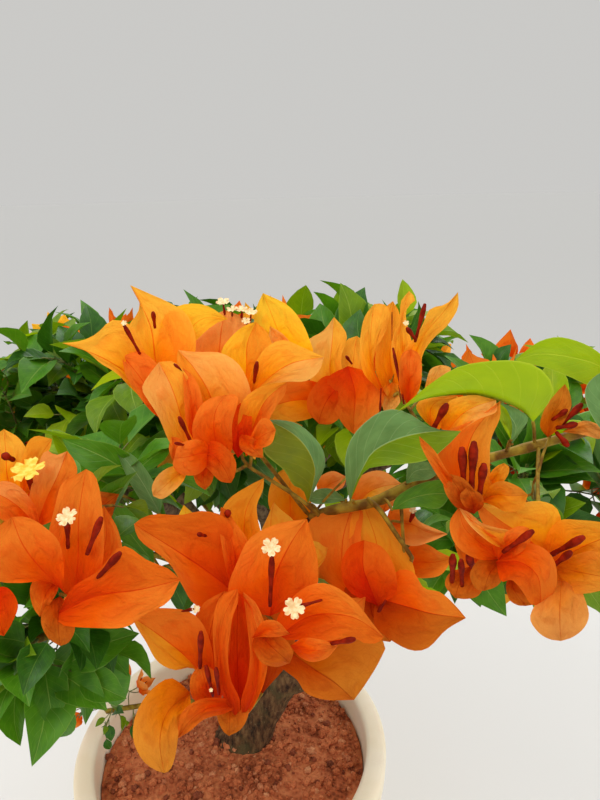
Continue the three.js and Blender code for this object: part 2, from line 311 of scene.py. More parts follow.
# Polypropylene, injection moulded: a soft even gloss, a little yellowed, with red grit rubbed into it.
# In every material a Map Range has its from range on inputs 1 and 2 and its to range on 3 and 4, and
# a Mix has its two colours on 6 and 7
def potPlastic():
    finish = {"cream": "#FFF2D6", "shade": "#FBEAC8", "stain": "#A0643C", "cloud": 60, "grit": 2.5,
              "splashed": 90, "footDirt": 0.9, "smears": (0.04, 0.22), "roughness": (0.42, 0.58)}
    material, tree = newMaterial("creamPolypropyleneMoulded")
    place = addNode(tree, "ShaderNodeTexCoord").outputs["Object"]
    height = addNode(tree, "ShaderNodeSeparateXYZ", {"Vector": place}).outputs["Z"]
    cloud = addNode(tree, "ShaderNodeTexNoise",
                    {"Vector": place, "Scale": 1 / (finish["cloud"] * mm), "Detail": 5.0})
    grain = addNode(tree, "ShaderNodeTexNoise",
                    {"Vector": place, "Scale": 1 / (finish["grit"] * mm), "Detail": 3.0})
    tone = addNode(tree, "ShaderNodeValToRGB", {0: cloud}, stops=[
        (0.38, finish["shade"]), (0.6, finish["cream"])])
    low = addNode(tree, "ShaderNodeMapRange", {
        0: height, 1: finish["splashed"] * mm, 2: 0.0, 3: 0.0, 4: finish["footDirt"]})
    smears = addNode(tree, "ShaderNodeMapRange", {
        0: cloud, 1: 0.56, 2: 0.76, 3: finish["smears"][0], 4: finish["smears"][1]})
    dirty = addNode(tree, "ShaderNodeMath", {0: low, 1: smears}, operation="MAXIMUM")
    dirty = addNode(tree, "ShaderNodeMath", {0: dirty, 1: grain}, operation="MULTIPLY")
    colour = addNode(tree, "ShaderNodeMix", {0: dirty, 6: tone, 7: linear(finish["stain"])},
                     data_type="RGBA").outputs[2]
    gloss = addNode(tree, "ShaderNodeMapRange", {
        0: grain, 1: 0.3, 2: 0.7, 3: finish["roughness"][0], 4: finish["roughness"][1]})
    bump = addNode(tree, "ShaderNodeBump", {"Height": grain, "Strength": 0.06, "Distance": 0.0005})
    shader = addNode(tree, "ShaderNodeBsdfPrincipled", {
        "Base Color": colour, "Roughness": gloss, "Normal": bump, "IOR": 1.49})
    finishMaterial(tree, shader)
    return material


pot = turned("potTurned", potShape["outline"], potShape["segments"])
pot.data.materials.append(potPlastic())
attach(pot, "root")
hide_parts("pot")
print("pot turned")

# Soil: red laterite grit, mounded at the trunk, with loose clods and small stones on it
soilShape = {
    "segments": 120,
    "wall": [(60, 9.5), (136.5, 9.5), (162.5, 180), (179, 287)],
    "edge": 179,
    "middle": 2,  # radius of the innermost ring
    "rings": 34,
    "turnedAt": 288,  # the top is turned flat at this height, and then rises and falls
    "moundRadius": 62,
    "fall": 8,
    "sunk": 2.4,
    "hollows": [(34, 3.7, 4.5), (9, 8.1, 2.25)],  # how wide, from where in the noise, how deep
    "heap": {"radius": 75, "height": 5},
}
clodShape = {
    # kind: how many, and the light, middle and dark tone
    "kinds": {
        "clodsRed": (1900, ("#D67E4E", "#BE663C", "#944A2A")),
        "clodsPale": (420, ("#DE9666", "#CC7C52", "#AE623C")),
        "clodsDark": (260, ("#9A5032", "#804028", "#5E2E1A")),
    },
    "size": (2.4, 13.0),
    "fewLarge": 3.2,  # the higher, the fewer of the clods are large
    "uneven": 0.22,
    "flattened": (1, 0.85, 0.75),
    "stretch": 0.3,
    "proud": 0.22,  # how far its middle stands above the bed, as a share of its size
    "fromEdge": 3,
    "fromTrunk": 26,
    "grain": 3,
}


def fromTrunk(x, y):
    return math.hypot(x - trunkShape["foot"][0], y - trunkShape["foot"][1])


def soilHeight(x, y):
    share = (math.hypot(x, y) - soilShape["moundRadius"]) / (soilShape["edge"] - soilShape["moundRadius"])
    flat = bedHeight - soilShape["sunk"] - soilShape["fall"] * min(max(share, 0), 1)
    bumps = sum(deep * noise.noise(Vector((x / wide, y / wide, place)))
                for wide, place, deep in soilShape["hollows"])
    nearFoot = max(0, 1 - fromTrunk(x, y) / soilShape["heap"]["radius"])
    return flat + bumps + soilShape["heap"]["height"] * nearFoot ** 2


soilTop = [(soilShape["edge"] * (1 - s) + soilShape["middle"] * s, soilShape["turnedAt"])
           for s in shares(soilShape["rings"] + 1)]
soil = turned("soilFilling", soilShape["wall"] + soilTop, soilShape["segments"])
for vertex in soil.data.vertices:
    if vertex.co.z > (soilShape["turnedAt"] - 0.5) * mm:
        vertex.co.z = soilHeight(vertex.co.x / mm, vertex.co.y / mm) * mm


# Laterite: an iron-red weathered clay, dull and crumbly, darker where it is damp, with painted shade in the
# pits between its crumbs
def laterite(name, light, mid, dark, grain, patch=28):
    material, tree = newMaterial(name)
    place = addNode(tree, "ShaderNodeTexCoord").outputs["Object"]
    patches = addNode(tree, "ShaderNodeTexNoise",
                      {"Vector": place, "Scale": 1 / (patch * mm), "Detail": 6.0})
    crumbs = addNode(tree, "ShaderNodeTexVoronoi", {"Vector": place, "Scale": 1 / (grain * mm)})
    # painted shade: the crumbs' pits, which the bump sinks, take the darkest tone
    patchesAndPitShade = addNode(tree, "ShaderNodeMath", {0: crumbs, 1: 0.35, 2: patches}, operation="MULTIPLY_ADD")
    tone = addNode(tree, "ShaderNodeValToRGB", {0: patchesAndPitShade}, stops=[(0.42, dark), (0.6, mid), (0.82, light)])
    bump = addNode(tree, "ShaderNodeBump", {"Height": crumbs, "Strength": 0.8, "Distance": 0.0025})
    shader = addNode(tree, "ShaderNodeBsdfPrincipled", {
        "Base Color": tone, "Roughness": 0.95, "Normal": bump, "Specular IOR Level": 0.25})
    finishMaterial(tree, shader)
    return material


soil.data.materials.append(laterite("lateriteBed", "#D27E4E", "#B8623A", "#823F22", 6))
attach(soil, "root")
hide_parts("soil")

# One clod is modelled and dealt out over the bed, each copy turned and sized by seeded chance
nothingSelected()
bpy.ops.mesh.primitive_ico_sphere_add(subdivisions=1, radius=1, location=(0, 0, 0))
clodBlank = bpy.context.active_object
bpy.ops.object.mode_set(mode="EDIT")
bpy.ops.transform.vertex_random(offset=clodShape["uneven"], seed=4)
bpy.ops.transform.resize(value=clodShape["flattened"])
bpy.ops.object.mode_set(mode="OBJECT")
clodPoints = np.array([v.co[:] for v in clodBlank.data.vertices])
clodFaces = [tuple(p.vertices) for p in clodBlank.data.polygons]
bpy.data.objects.remove(clodBlank)

heaps = {}  # name of a joined piece: its points, its faces and its map


def heapUp(name, points, faces, places=None):
    heap = heaps.setdefault(name, {"points": [], "faces": [], "map": [], "count": 0})
    first = heap["count"]
    heap["points"].append(points)
    heap["faces"] += [tuple(v + first for v in face) for face in faces]
    heap["count"] += len(points)
    if places is not None:
        heap["map"].append(places)


def joinedPiece(name, material, smooth=True):
    # one piece from all that was heaped up under its name; the map has a place for each vertex
    heap = heaps.pop(name)
    mesh = bpy.data.meshes.new(name)
    mesh.from_pydata(np.concatenate(heap["points"]).tolist(), [], heap["faces"])
    if heap["map"]:
        places = np.concatenate(heap["map"])
        corners = np.zeros(len(mesh.loops), dtype=np.int32)
        mesh.loops.foreach_get("vertex_index", corners)
        for layerName in ("bladeMap", "OFBake"):
            layer = mesh.uv_layers.new(name=layerName)
            layer.data.foreach_set("uv", places[corners].astype(np.float32).ravel())
    mesh.polygons.foreach_set("use_smooth", [smooth] * len(mesh.polygons))
    mesh.update()
    piece = bpy.data.objects.new(name, mesh)
    bpy.context.scene.collection.objects.link(piece)
    piece.data.materials.append(material)
    return piece


chance = np.random.default_rng(7)
for name, (number, tones) in clodShape["kinds"].items():
    for _ in range(number):
        reach = (soilShape["edge"] - clodShape["fromEdge"]) * math.sqrt(chance.random())
        turn = chance.random() * math.tau
        x, y = reach * math.cos(turn), reach * math.sin(turn)
        small, large = clodShape["size"]
        size = small + (large - small) * chance.random() ** clodShape["fewLarge"]
        spin = Matrix.Rotation(chance.random() * math.tau, 3, Vector(chance.normal(size=3)).normalized())
        if fromTrunk(x, y) < clodShape["fromTrunk"]:
            continue
        place = np.array([x, y, soilHeight(x, y) + size * clodShape["proud"]])
        stretch = 1 + clodShape["stretch"] * chance.random(3)
        heapUp(name, ((clodPoints * stretch) @ np.array(spin).T * size / 2 + place) * mm, clodFaces)
    clods = joinedPiece(name, laterite(name + "Laterite", *tones, clodShape["grain"]), smooth=False)
    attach(clods, "root")
print("soil filled")

# Trunk and leader: the limbs' own lines given a thickness, run together, and then given their bark
barkShape = {
    "steps": 24,
    "sides": {"trunk": 6, "leader": 5, "stub": 5, "collar": 4},  # resolution of the bevels
    "voxel": 1.9,
    "soften": (0.6, 6),  # factor and rounds
    "under": 4,  # how far below the bed's top the trunk is cut off
    # a bough's swollen foot: how far out of the trunk, at most what share of the bough, how thick at its
    # start and how much less at its end
    "collar": {"reach": 26, "most": 0.3, "swell": (1.45, 0.45), "steps": 8},
    "fissure": 1.5,  # depth of the furrows
    "furrowWidth": 7,
    "drawnOut": 4,  # how many times longer than wide a furrow is
    "around": 22,  # radius of the ring that the furrows' noise is taken from
    "level": 0.9,  # where in the noise the bark is neither raised nor sunk
    "share": 0.55,  # of the furrows' depth for each unit of noise
    "lump": (2.2, 26),  # height and width
    "grain": (0.5, 4),
}


def lineAsTube(name, points, radii, sides=3):
    # a poly curve with a round bevel, made a mesh; sides is the bevel's resolution
    nothingSelected()
    bpy.ops.curve.primitive_nurbs_path_add()
    drawn = bpy.context.active_object
    drawn.name = name
    curve = drawn.data
    curve.splines.clear()
    spline = curve.splines.new("POLY")
    spline.points.add(len(points) - 1)
    for point, place, radius in zip(spline.points, points, radii):
        point.co = (*place, 1)
        point.radius = radius
    curve.bevel_depth = 1.0
    curve.bevel_resolution = sides
    curve.use_fill_caps = True
    drawn.location = (0, 0, 0)
    drawn.select_set(True)
    bpy.context.view_layer.objects.active = drawn
    bpy.ops.object.convert(target="MESH")
    return bpy.context.active_object


def limbTube(kind, limb, steps, radiusAt):
    return lineAsTube(kind + "Tube", [along(paths[limb], s) for s in steps], [radiusAt(s) for s in steps],
                      barkShape["sides"][kind])


def trunkRadius(share):
    flare = trunkShape["flare"] * math.exp(-trunkShape["flareFade"] * share)
    return (trunkShape["radius"] + flare) * (1 - trunkShape["taper"] * share) * mm


steps = shares(barkShape["steps"])
trunkTubes = [limbTube("trunk", "trunk", steps, trunkRadius),
              limbTube("leader", "leader", steps, lambda s: limbRadius("leader", s))]
stubFrom = along(paths["trunk"], stubShape["along"])
stubTurn, stubLift = math.radians(stubShape["turn"]), math.radians(stubShape["lift"])
stubWay = np.array([math.cos(stubTurn) * math.cos(stubLift), math.sin(stubTurn) * math.cos(stubLift),
                    math.sin(stubLift)])
stubReach = (trunkShape["radius"] + stubShape["length"]) * mm
steps = shares(stubShape["steps"])
thick, less = stubShape["swell"]
trunkTubes.append(lineAsTube("stubTube", [stubFrom + stubWay * stubReach * s for s in steps],
                             [stubShape["radius"] * (thick - less * s) * mm for s in steps],
                             barkShape["sides"]["stub"]))
collar = barkShape["collar"]
for name, (parent, *_) in limbs.items():
    if parent in ("trunk", "leader") and name != "leader":
        length = np.linalg.norm(paths[name][2] - paths[name][0])
        reach = min((collar["reach"] + trunkShape["radius"]) * mm / length, collar["most"])
        thick, less = collar["swell"]
        trunkTubes.append(limbTube("collar", name, shares(collar["steps"], 0, reach),
                                   lambda s: limbRadius(name, s) * (thick - less * min(s / reach, 1))))
nothingSelected()
for tube in trunkTubes:
    tube.select_set(True)
bpy.context.view_layer.objects.active = trunkTubes[0]
bpy.ops.object.join()
trunk = bpy.context.active_object
trunk.name = "trunkBark"
remesh = trunk.modifiers.new("run together", "REMESH")
remesh.mode = "VOXEL"
remesh.voxel_size = barkShape["voxel"] * mm
bpy.ops.object.modifier_apply(modifier=remesh.name)
smooth = trunk.modifiers.new("soften", "SMOOTH")
smooth.factor, smooth.iterations = barkShape["soften"]
bpy.ops.object.modifier_apply(modifier=smooth.name)
bpy.ops.object.mode_set(mode="EDIT")
bpy.ops.mesh.select_all(action="SELECT")
bpy.ops.mesh.bisect(plane_co=(0, 0, (bedHeight - barkShape["under"]) * mm), plane_no=(0, 0, -1),
                    clear_outer=True, use_fill=True)
bpy.ops.object.mode_set(mode="OBJECT")


def furrowed(piece, line):
    # furrows run along the limb: the noise is drawn out along the nearest line
    mesh = piece.data
    count = len(mesh.vertices)
    places = np.zeros(count * 3)
    normals = np.zeros(count * 3)
    mesh.vertices.foreach_get("co", places)
    mesh.vertices.foreach_get("normal", normals)
    places, normals = places.reshape(-1, 3), normals.reshape(-1, 3)
    line = np.array(line)
    wide = barkShape["furrowWidth"]
    lumpHeight, lumpWidth = barkShape["lump"]
    grainHeight, grainWidth = barkShape["grain"]
    for i, (place, normal) in enumerate(zip(places, normals)):
        nearest = line[np.argmin(((line - place) ** 2).sum(1))]
        around = Vector((place[0] - nearest[0], place[1] - nearest[1], 0)).normalized() * barkShape["around"]
        spot = Vector((around.x / wide, around.y / wide, place[2] / mm / (wide * barkShape["drawnOut"])))
        furrow = noise.ridged_multi_fractal(spot, 1.0, 2.0, 3, 1.0, 2.0)
        broad = noise.noise(Vector(place) / (lumpWidth * mm))
        fine = noise.noise(Vector(place) / (grainWidth * mm))
        deep = barkShape["fissure"] * (furrow - barkShape["level"]) * barkShape["share"]
        places[i] = place + normal * (lumpHeight * broad + grainHeight * fine - deep) * mm
    mesh.vertices.foreach_set("co", places.ravel())
    mesh.update()


furrowed(trunk, [along(paths[name], s) for name in ("trunk", "leader") for s in shares(60)])
only(trunk)
bpy.ops.object.shade_smooth()


# Old bougainvillea wood: grey-brown bark in soft furrows, dry and dull, with a green tinge of algae, and
# painted shade darkening the furrows
def oldBark():
    finish = {"ridge": "#80603C", "side": "#5E4026", "furrow": "#2A1C10", "algae": "#5A5230",
              "lichen": "#96886A", "furrowWidth": 6, "drawnOut": 0.28, "patch": 35, "speck": 3}
    material, tree = newMaterial("furrowedBark")
    place = addNode(tree, "ShaderNodeTexCoord").outputs["Object"]
    drawn = addNode(tree, "ShaderNodeMapping", {
        "Vector": place, "Scale": (1.0, 1.0, finish["drawnOut"])})
    furrows = addNode(tree, "ShaderNodeTexNoise", {
        "Vector": drawn, "Scale": 1 / (finish["furrowWidth"] * mm), "Detail": 6.0, "Roughness": 0.62})
    patches = addNode(tree, "ShaderNodeTexNoise", {
        "Vector": place, "Scale": 1 / (finish["patch"] * mm), "Detail": 4.0})
    specks = addNode(tree, "ShaderNodeTexNoise", {
        "Vector": place, "Scale": 1 / (finish["speck"] * mm), "Detail": 3.0})
    # painted shade: where the bump sinks the furrows, the tone goes down to the near-black furrow colour
    tone = addNode(tree, "ShaderNodeValToRGB", {0: furrows}, stops=[
        (0.36, finish["furrow"]), (0.5, finish["side"]), (0.66, finish["ridge"])])
    greened = addNode(tree, "ShaderNodeMapRange", {0: patches, 1: 0.5, 2: 0.68, 3: 0.0, 4: 0.7})
    tone = addNode(tree, "ShaderNodeMix", {0: greened, 6: tone, 7: linear(finish["algae"])},
                   data_type="RGBA").outputs[2]
    crusted = addNode(tree, "ShaderNodeMapRange", {0: specks, 1: 0.62, 2: 0.7, 3: 0.0, 4: 0.35})
    tone = addNode(tree, "ShaderNodeMix", {0: crusted, 6: tone, 7: linear(finish["lichen"])},
                   data_type="RGBA").outputs[2]
    bump = addNode(tree, "ShaderNodeBump", {"Height": furrows, "Strength": 0.9, "Distance": 0.003})
    shader = addNode(tree, "ShaderNodeBsdfPrincipled", {
        "Base Color": tone, "Roughness": 0.88, "Normal": bump, "Specular IOR Level": 0.3})
    finishMaterial(tree, shader)
    return material


trunk.data.materials.append(oldBark())
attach(trunk, "root")
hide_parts("trunk", "leader")
print("trunk and leader barked", len(trunk.data.polygons))

# Boughs and branches: the rest of the limbs, each on its own line, knobbed where old leaves stood
boughShape = {
    "step": 5.0,
    "sides": 10,
    "waver": (1.6, 60),  # how far and over what length
    "knob": (0.14, 1.1),  # how much thicker, and its length in steps
    "knobEvery": 24,
    "uneven": (0.09, 0.31),  # how much thicker or thinner, and the step in the noise
    "old": 4.6,  # a limb thicker than this at its foot has bark, any other is still green
    "slim": 2.7,  # a limb thinner than this at its foot is drawn slimmer than the frame's
    "slimmed": 0.41,
    "shortened": {"branch_front_leaves": 0.86, "bough_front": 0.974},
}
# the branch that bears the front flowers, and how it sags near its foot
bearing = {"limb": "branch_front_right", "slimmed": 0.86, "sag": 4.0, "sagAt": 0.15, "sagOver": 0.07}
tubeEnds = (0.3, 0.6)  # how far the closed ends stand out, in radii


def tubeArrays(line, radii, sides):
    # rings carried along a line without twisting; the ends are closed to a point
    line = np.asarray(line)
    ways = np.gradient(line, axis=0)
    ways /= np.linalg.norm(ways, axis=1)[:, None] + 1e-12
    side = unit(np.cross(ways[0], (0.12, 0.31, 0.94)))  # any way that no limb runs in
    turns = np.arange(sides) / sides * math.tau
    points = [line[:1] - ways[0] * radii[0] * tubeEnds[0]]
    for place, way, radius in zip(line, ways, radii):
        side = unit(side - way * side.dot(way))
        other = np.cross(way, side)
        points.append(place + radius * (np.cos(turns)[:, None] * side + np.sin(turns)[:, None] * other))
    points.append(line[-1:] + ways[-1] * radii[-1] * tubeEnds[1])
    faces = [(0, 1 + (k + 1) % sides, 1 + k) for k in range(sides)]
    for ring in range(len(line) - 1):
        low = 1 + ring * sides
        faces += [(low + k, low + (k + 1) % sides, low + sides + (k + 1) % sides, low + sides + k)
                  for k in range(sides)]
    last = 1 + (len(line) - 1) * sides
    faces += [(last + k, last + (k + 1) % sides, last + sides) for k in range(sides)]
    return np.concatenate(points), faces


def limbLine(name):
    # the limb's middle line with a slight waver that is nought at both ends
    length = sum(np.linalg.norm(np.diff([along(paths[name], s) for s in shares(12)], axis=0), axis=1))
    count = max(8, int(length / (boughShape["step"] * mm)))
    seed = sum(ord(letter) for letter in name)
    far, over = boughShape["waver"]
    line = []
    for s in shares(count, 0, boughShape["shortened"].get(name, 1)):
        spot = along(paths[name], s)
        drift = noise.noise_vector(Vector((s * length / (over * mm), seed, 0.5)))
        if name == bearing["limb"]:
            spot = spot - eyeUp * bearing["sag"] * mm * math.exp(
                -((s - bearing["sagAt"]) / bearing["sagOver"]) ** 2)
        line.append(spot + np.array(drift) * far * mm * math.sin(math.pi * s))
    return np.array(line)


def slimness(name):
    if name == bearing["limb"]:
        return bearing["slimmed"]
    return boughShape["slimmed"] if footRadius[name] < boughShape["slim"] else 1


limbLines = {name: limbLine(name) for name in limbs if name != "leader"}
barked = [name for name in limbLines if footRadius[name] > boughShape["old"]]
chance = np.random.default_rng(21)
for name, line in limbLines.items():
    every = boughShape["knobEvery"] / boughShape["step"]
    offset = chance.random() * every
    most, long = boughShape["knob"]
    uneven, often = boughShape["uneven"]
    radii = []
    for i, s in enumerate(shares(len(line))):
        knob = 1 + most * math.exp(-(((i + offset) % every - every / 2) / long) ** 2)
        rough = 1 + uneven * noise.noise(Vector((i * often, offset, 2.2)))
        radii.append(limbRadius(name, s) * slimness(name) * rough * knob)
    points, faces = tubeArrays(line, radii, boughShape["sides"])
    heapUp("boughs" if name in barked else "branches", points, faces)
print("boughs laid", len(limbLines))

# Twigs. In each mass seeded goals are joined, nearest first, to the closest point of what has grown
# so far, so the limb forks again and again until every goal is reached
twigShape = {
    "step": 11.0,
    "sides": 5,
    "nearSides": 7,
    "tip": 0.75,
    "power": 2.3,  # a twig's thickness to this power is shared out at a fork
    "sag": 0.1,
    "stray": 0.05,
    "thornEvery": 3,
    "thorn": 6.0,
    "thornThick": (0.75, 0.5, 0.12),
}


def growTwigs(starts, goals, seed):
    chance = np.random.default_rng(seed)
    spots = [np.asarray(p) for p in starts]
    parents = [-1] * len(spots)
    middle = np.mean(spots, axis=0)
    tips = {}
    for g in sorted(range(len(goals)), key=lambda g: np.linalg.norm(goals[g] - middle)):
        gaps = np.linalg.norm(np.array(spots) - goals[g], axis=1)
        at = int(np.argmin(gaps))
        start, gap = spots[at], gaps[at]
        count = max(2, int(round(gap / (twigShape["step"] * mm))))
        lift = np.array([0, 0, gap * twigShape["sag"]]) + chance.normal(size=3) * gap * twigShape["stray"]
        for i in range(1, count + 1):
            s = i / count
            spots.append(start + (goals[g] - start) * s + lift * math.sin(math.pi * s))
            parents.append(at)
            at = len(spots) - 1
        tips[g] = at
    return np.array(spots), parents, tips


def twigRadii(spots, parents, most):
    load = [0.0] * len(spots)
    radii = [twigShape["tip"] * mm] * len(spots)
    for i in range(len(spots) - 1, -1, -1):
        if load[i]:
            radii[i] = min(load[i] ** (1 / twigShape["power"]), most)
        if parents[i] >= 0:
            load[parents[i]] += radii[i] ** twigShape["power"]
    return radii


def layTwigs(heap, spots, parents, radii, fineness):
    # each chain runs on through its thickest fork
    children = {}
    for i, parent in enumerate(parents):
        if parent >= 0:
            children.setdefault(parent, []).append(i)
    for i, parent in enumerate(parents):
        if parent < 0:
            continue
        best = max(children[parent], key=lambda c: radii[c])
        if i == best and parents[parent] >= 0:
            continue
        chain = [parent, i]
        while chain[-1] in children:
            chain.append(max(children[chain[-1]], key=lambda c: radii[c]))
        thick = [min(radii[chain[1]], radii[chain[0]])] + [radii[c] for c in chain[1:]]
        points, faces = tubeArrays([spots[c] for c in chain], thick, fineness)
        heapUp(heap, points, faces)


def layThorns(heap, spots, parents, chance):
    for i, parent in enumerate(parents):
        if parent < 0 or i % twigShape["thornEvery"]:
            continue
        way = spots[i] - spots[parent]
        side = unit(np.cross(way, chance.normal(size=3)))
        reach = twigShape["thorn"] * mm * (0.5 + chance.random())
        line = [spots[i], spots[i] + side * reach * 0.5, spots[i] + side * reach + way * 0.1]
        points, faces = tubeArrays(line, [thick * mm for thick in twigShape["thornThick"]], 3)
        heapUp(heap, points, faces)


# Blades. A flat blank is modelled once for each kind: a grid whose rows are scaled to the outline
def selectRow(piece, share, within):
    bpy.ops.object.mode_set(mode="EDIT")
    bpy.ops.mesh.select_mode(type="VERT")
    bpy.ops.mesh.select_all(action="DESELECT")
    bpy.ops.object.mode_set(mode="OBJECT")
    for vertex in piece.data.vertices:
        vertex.select = abs(vertex.co.x - share) < within
    bpy.ops.object.mode_set(mode="EDIT")


def bladeBlank(rows, columns, outline):
    nothingSelected()
    bpy.ops.mesh.primitive_grid_add(x_subdivisions=rows, y_subdivisions=columns, size=1, location=(0.5, 0, 0))
    blank = bpy.context.active_object
    bpy.ops.object.transform_apply(location=True)
    within = 0.2 / rows
    for row in range(1, rows):
        share = row / rows
        selectRow(blank, share, within)
        wide = 2 * np.interp(share, *zip(*outline))
        bpy.ops.transform.resize(value=(1, wide, 1), center_override=(share, 0, 0))
    for end in (0, 1):
        selectRow(blank, end, within)
        bpy.ops.mesh.merge(type="CENTER")
    bpy.ops.object.mode_set(mode="OBJECT")
    flat = np.array([v.co[:] for v in blank.data.vertices])
    faces = [tuple(p.vertices) for p in blank.data.polygons]
    wides = np.interp(flat[:, 0], *zip(*outline))
    shape = {"u": flat[:, 0], "v": flat[:, 1] / np.maximum(wides, 1e-6), "wide": wides, "faces": faces}
    shape["v"][(flat[:, 0] < 1e-6) | (flat[:, 0] > 1 - 1e-6)] = 0
    shape["map"] = np.stack([shape["u"], 0.5 + 0.5 * shape["v"]], axis=1)
    shape["halves"] = []
    for side in (-1, 1):
        half = [face for face in faces if side * sum(shape["v"][v] for v in face) > 0]
        used = sorted({v for face in half for v in face})
        shape["halves"].append((used, [tuple(used.index(v) for v in face) for face in half]))
    bpy.data.objects.remove(blank)
    return shape


# how far along, and how wide there
bractOutline = [(0, 0.1), (0.03, 0.46), (0.08, 0.7), (0.16, 0.88), (0.26, 0.98), (0.36, 1.0), (0.48, 0.97),
                (0.6, 0.86), (0.7, 0.69), (0.79, 0.47), (0.87, 0.26), (0.94, 0.11), (1, 0.01)]
leafOutline = [(0, 0.05), (0.05, 0.34), (0.12, 0.62), (0.22, 0.87), (0.33, 0.99), (0.42, 1.0), (0.54, 0.93),
               (0.66, 0.77), (0.78, 0.54), (0.88, 0.3), (0.95, 0.13), (1, 0.01)]
blanks = {
    "bract": bladeBlank(7, 6, bractOutline),
    "bractNear": bladeBlank(20, 14, bractOutline),
    "leaf": bladeBlank(6, 4, leafOutline),
    "leafNear": bladeBlank(18, 10, leafOutline),
}
bladeHabit = {
    "edge": 1.6,  # the higher, the closer a ripple keeps to the edges
    "outOfStep": 0.21,  # by how much of a wave the ripples of the two edges differ
    "twistAbout": 0.35,
    "curlFrom": 0.55,
}


def rippleAt(blank, waves, phase):
    u, v = blank["u"], blank["v"]
    return np.abs(v) ** bladeHabit["edge"] * np.sin(
        math.tau * (waves * u + phase + bladeHabit["outOfStep"] * np.sign(v)))


def layBlade(heap, kind, base, tip, facing, bend):
    # arch: the midrib bows away from the side that faces; cup and fold: the edges rise to that side;
    # curl: the tip does; sway: the midrib bows sideways in the blade; ripple: waves along the edges
    blank = blanks[kind]
    base, tip = np.asarray(base), np.asarray(tip)
    length = np.linalg.norm(tip - base)
    way = (tip - base) / length
    facing = unit(facing - way * np.dot(facing, way))
    side = np.cross(facing, way)
    u, v = blank["u"], blank["v"]
    half = blank["wide"] * bend["width"] / 2
    bow = 4 * u * (1 - u)
    across = v * half
    rise = 2 * half * (bend["cup"] * v ** 2 + bend["fold"] * np.abs(v))
    rise += bend["ripple"] * rippleAt(blank, bend["waves"], bend["phase"])
    turn = bend["twist"] * (u - bladeHabit["twistAbout"])
    across, rise = across * np.cos(turn) - rise * np.sin(turn), across * np.sin(turn) + rise * np.cos(turn)
    curled = np.maximum(0, (u - bladeHabit["curlFrom"]) / (1 - bladeHabit["curlFrom"])) ** 2
    rise = rise - bend["arch"] * bow + bend["curl"] * curled
    across = across + bend["sway"] * bow
    points = base + length * (u[:, None] * way + across[:, None] * side + rise[:, None] * facing)
    heapUp(heap, points, blank["faces"], blank["map"])


def layStalk(heap, start, end, lift, thick, sides=4, count=5):
    line = [start + (end - start) * s + lift * math.sin(math.pi * s) for s in shares(count)]
    points, faces = tubeArrays(line, [thick * mm] * count, sides)
    heapUp(heap, points, faces)


# A flower: a slender swollen tube, closed as a bud or open as a small pale star
tubeShape = {"length": 21.0, "thick": 1.25, "profile": [0.55, 0.7, 0.62, 0.66, 0.85, 1.05, 1.0, 0.6]}
starShape = {
    "size": 4.4,
    "lobes": 5,
    "reach": (0.5, 0.52),  # at the lobes' sides, and how much more at their middles
    "notch": (0.15, 0.09),  # how deep and how wide
    "rise": 0.14,
    "ruffle": 0.24,
    "ringInside": ((0.44, 0.14), (-0.04, 0.12)),  # reach and rise, for the nearest stars only
    "throat": (0.16, -0.05),
    "sunk": 0.1,
}


def layTube(start, end, thick=1.0, sides=5):
    start, end = np.asarray(start), np.asarray(end)
    profile = tubeShape["profile"]
    line = [start + (end - start) * s for s in shares(len(profile))]
    points, faces = tubeArrays(line, [tubeShape["thick"] * thick * wide * mm for wide in profile], sides)
    heapUp("flowerTubes", points, faces)


def layStar(heap, middle, facing, size, chance, fine=4):
    # five lobes with notched, ruffled ends round a sunk throat; fine is the number of steps in a lobe
    facing = facing / np.linalg.norm(facing)
    side = unit(np.cross(facing, (0.3, 0.2, 0.93)))
    other = np.cross(facing, side)
    stray = chance.random(36)
    count = starShape["lobes"] * fine
    turns = (stray[0] + np.arange(count) / count) * math.tau
    lobe = np.arange(count) % fine / fine
    swell = np.sin(math.pi * lobe)
    ruffle = starShape["ruffle"] * (np.resize(stray[1:], count) - 0.5)
    atSides, more = starShape["reach"]
    deep, wide = starShape["notch"]
    rings = [(atSides + more * swell ** 0.5 - deep * np.exp(-((lobe - 0.5) / wide) ** 2),
              starShape["rise"] * swell + ruffle)]
    if fine > 4:
        rings.append(tuple(least + more * swell for least, more in starShape["ringInside"]))
    rings.append(tuple(np.full(count, value) for value in starShape["throat"]))
    out = np.outer(np.cos(turns), side) + np.outer(np.sin(turns), other)
    points = [middle[None] - facing * size * starShape["sunk"]]
    points += [middle + size * (reach[:, None] * out + lift[:, None] * facing) for reach, lift in rings]
    faces = []
    for ring in range(len(rings) - 1):
        low = 1 + ring * count
        faces += [(low + count + k, low + k, low + (k + 1) % count, low + count + (k + 1) % count)
                  for k in range(count)]
    last = 1 + (len(rings) - 1) * count
    faces += [(0, last + k, last + (k + 1) % count) for k in range(count)]
    heapUp(heap, np.concatenate(points), faces)
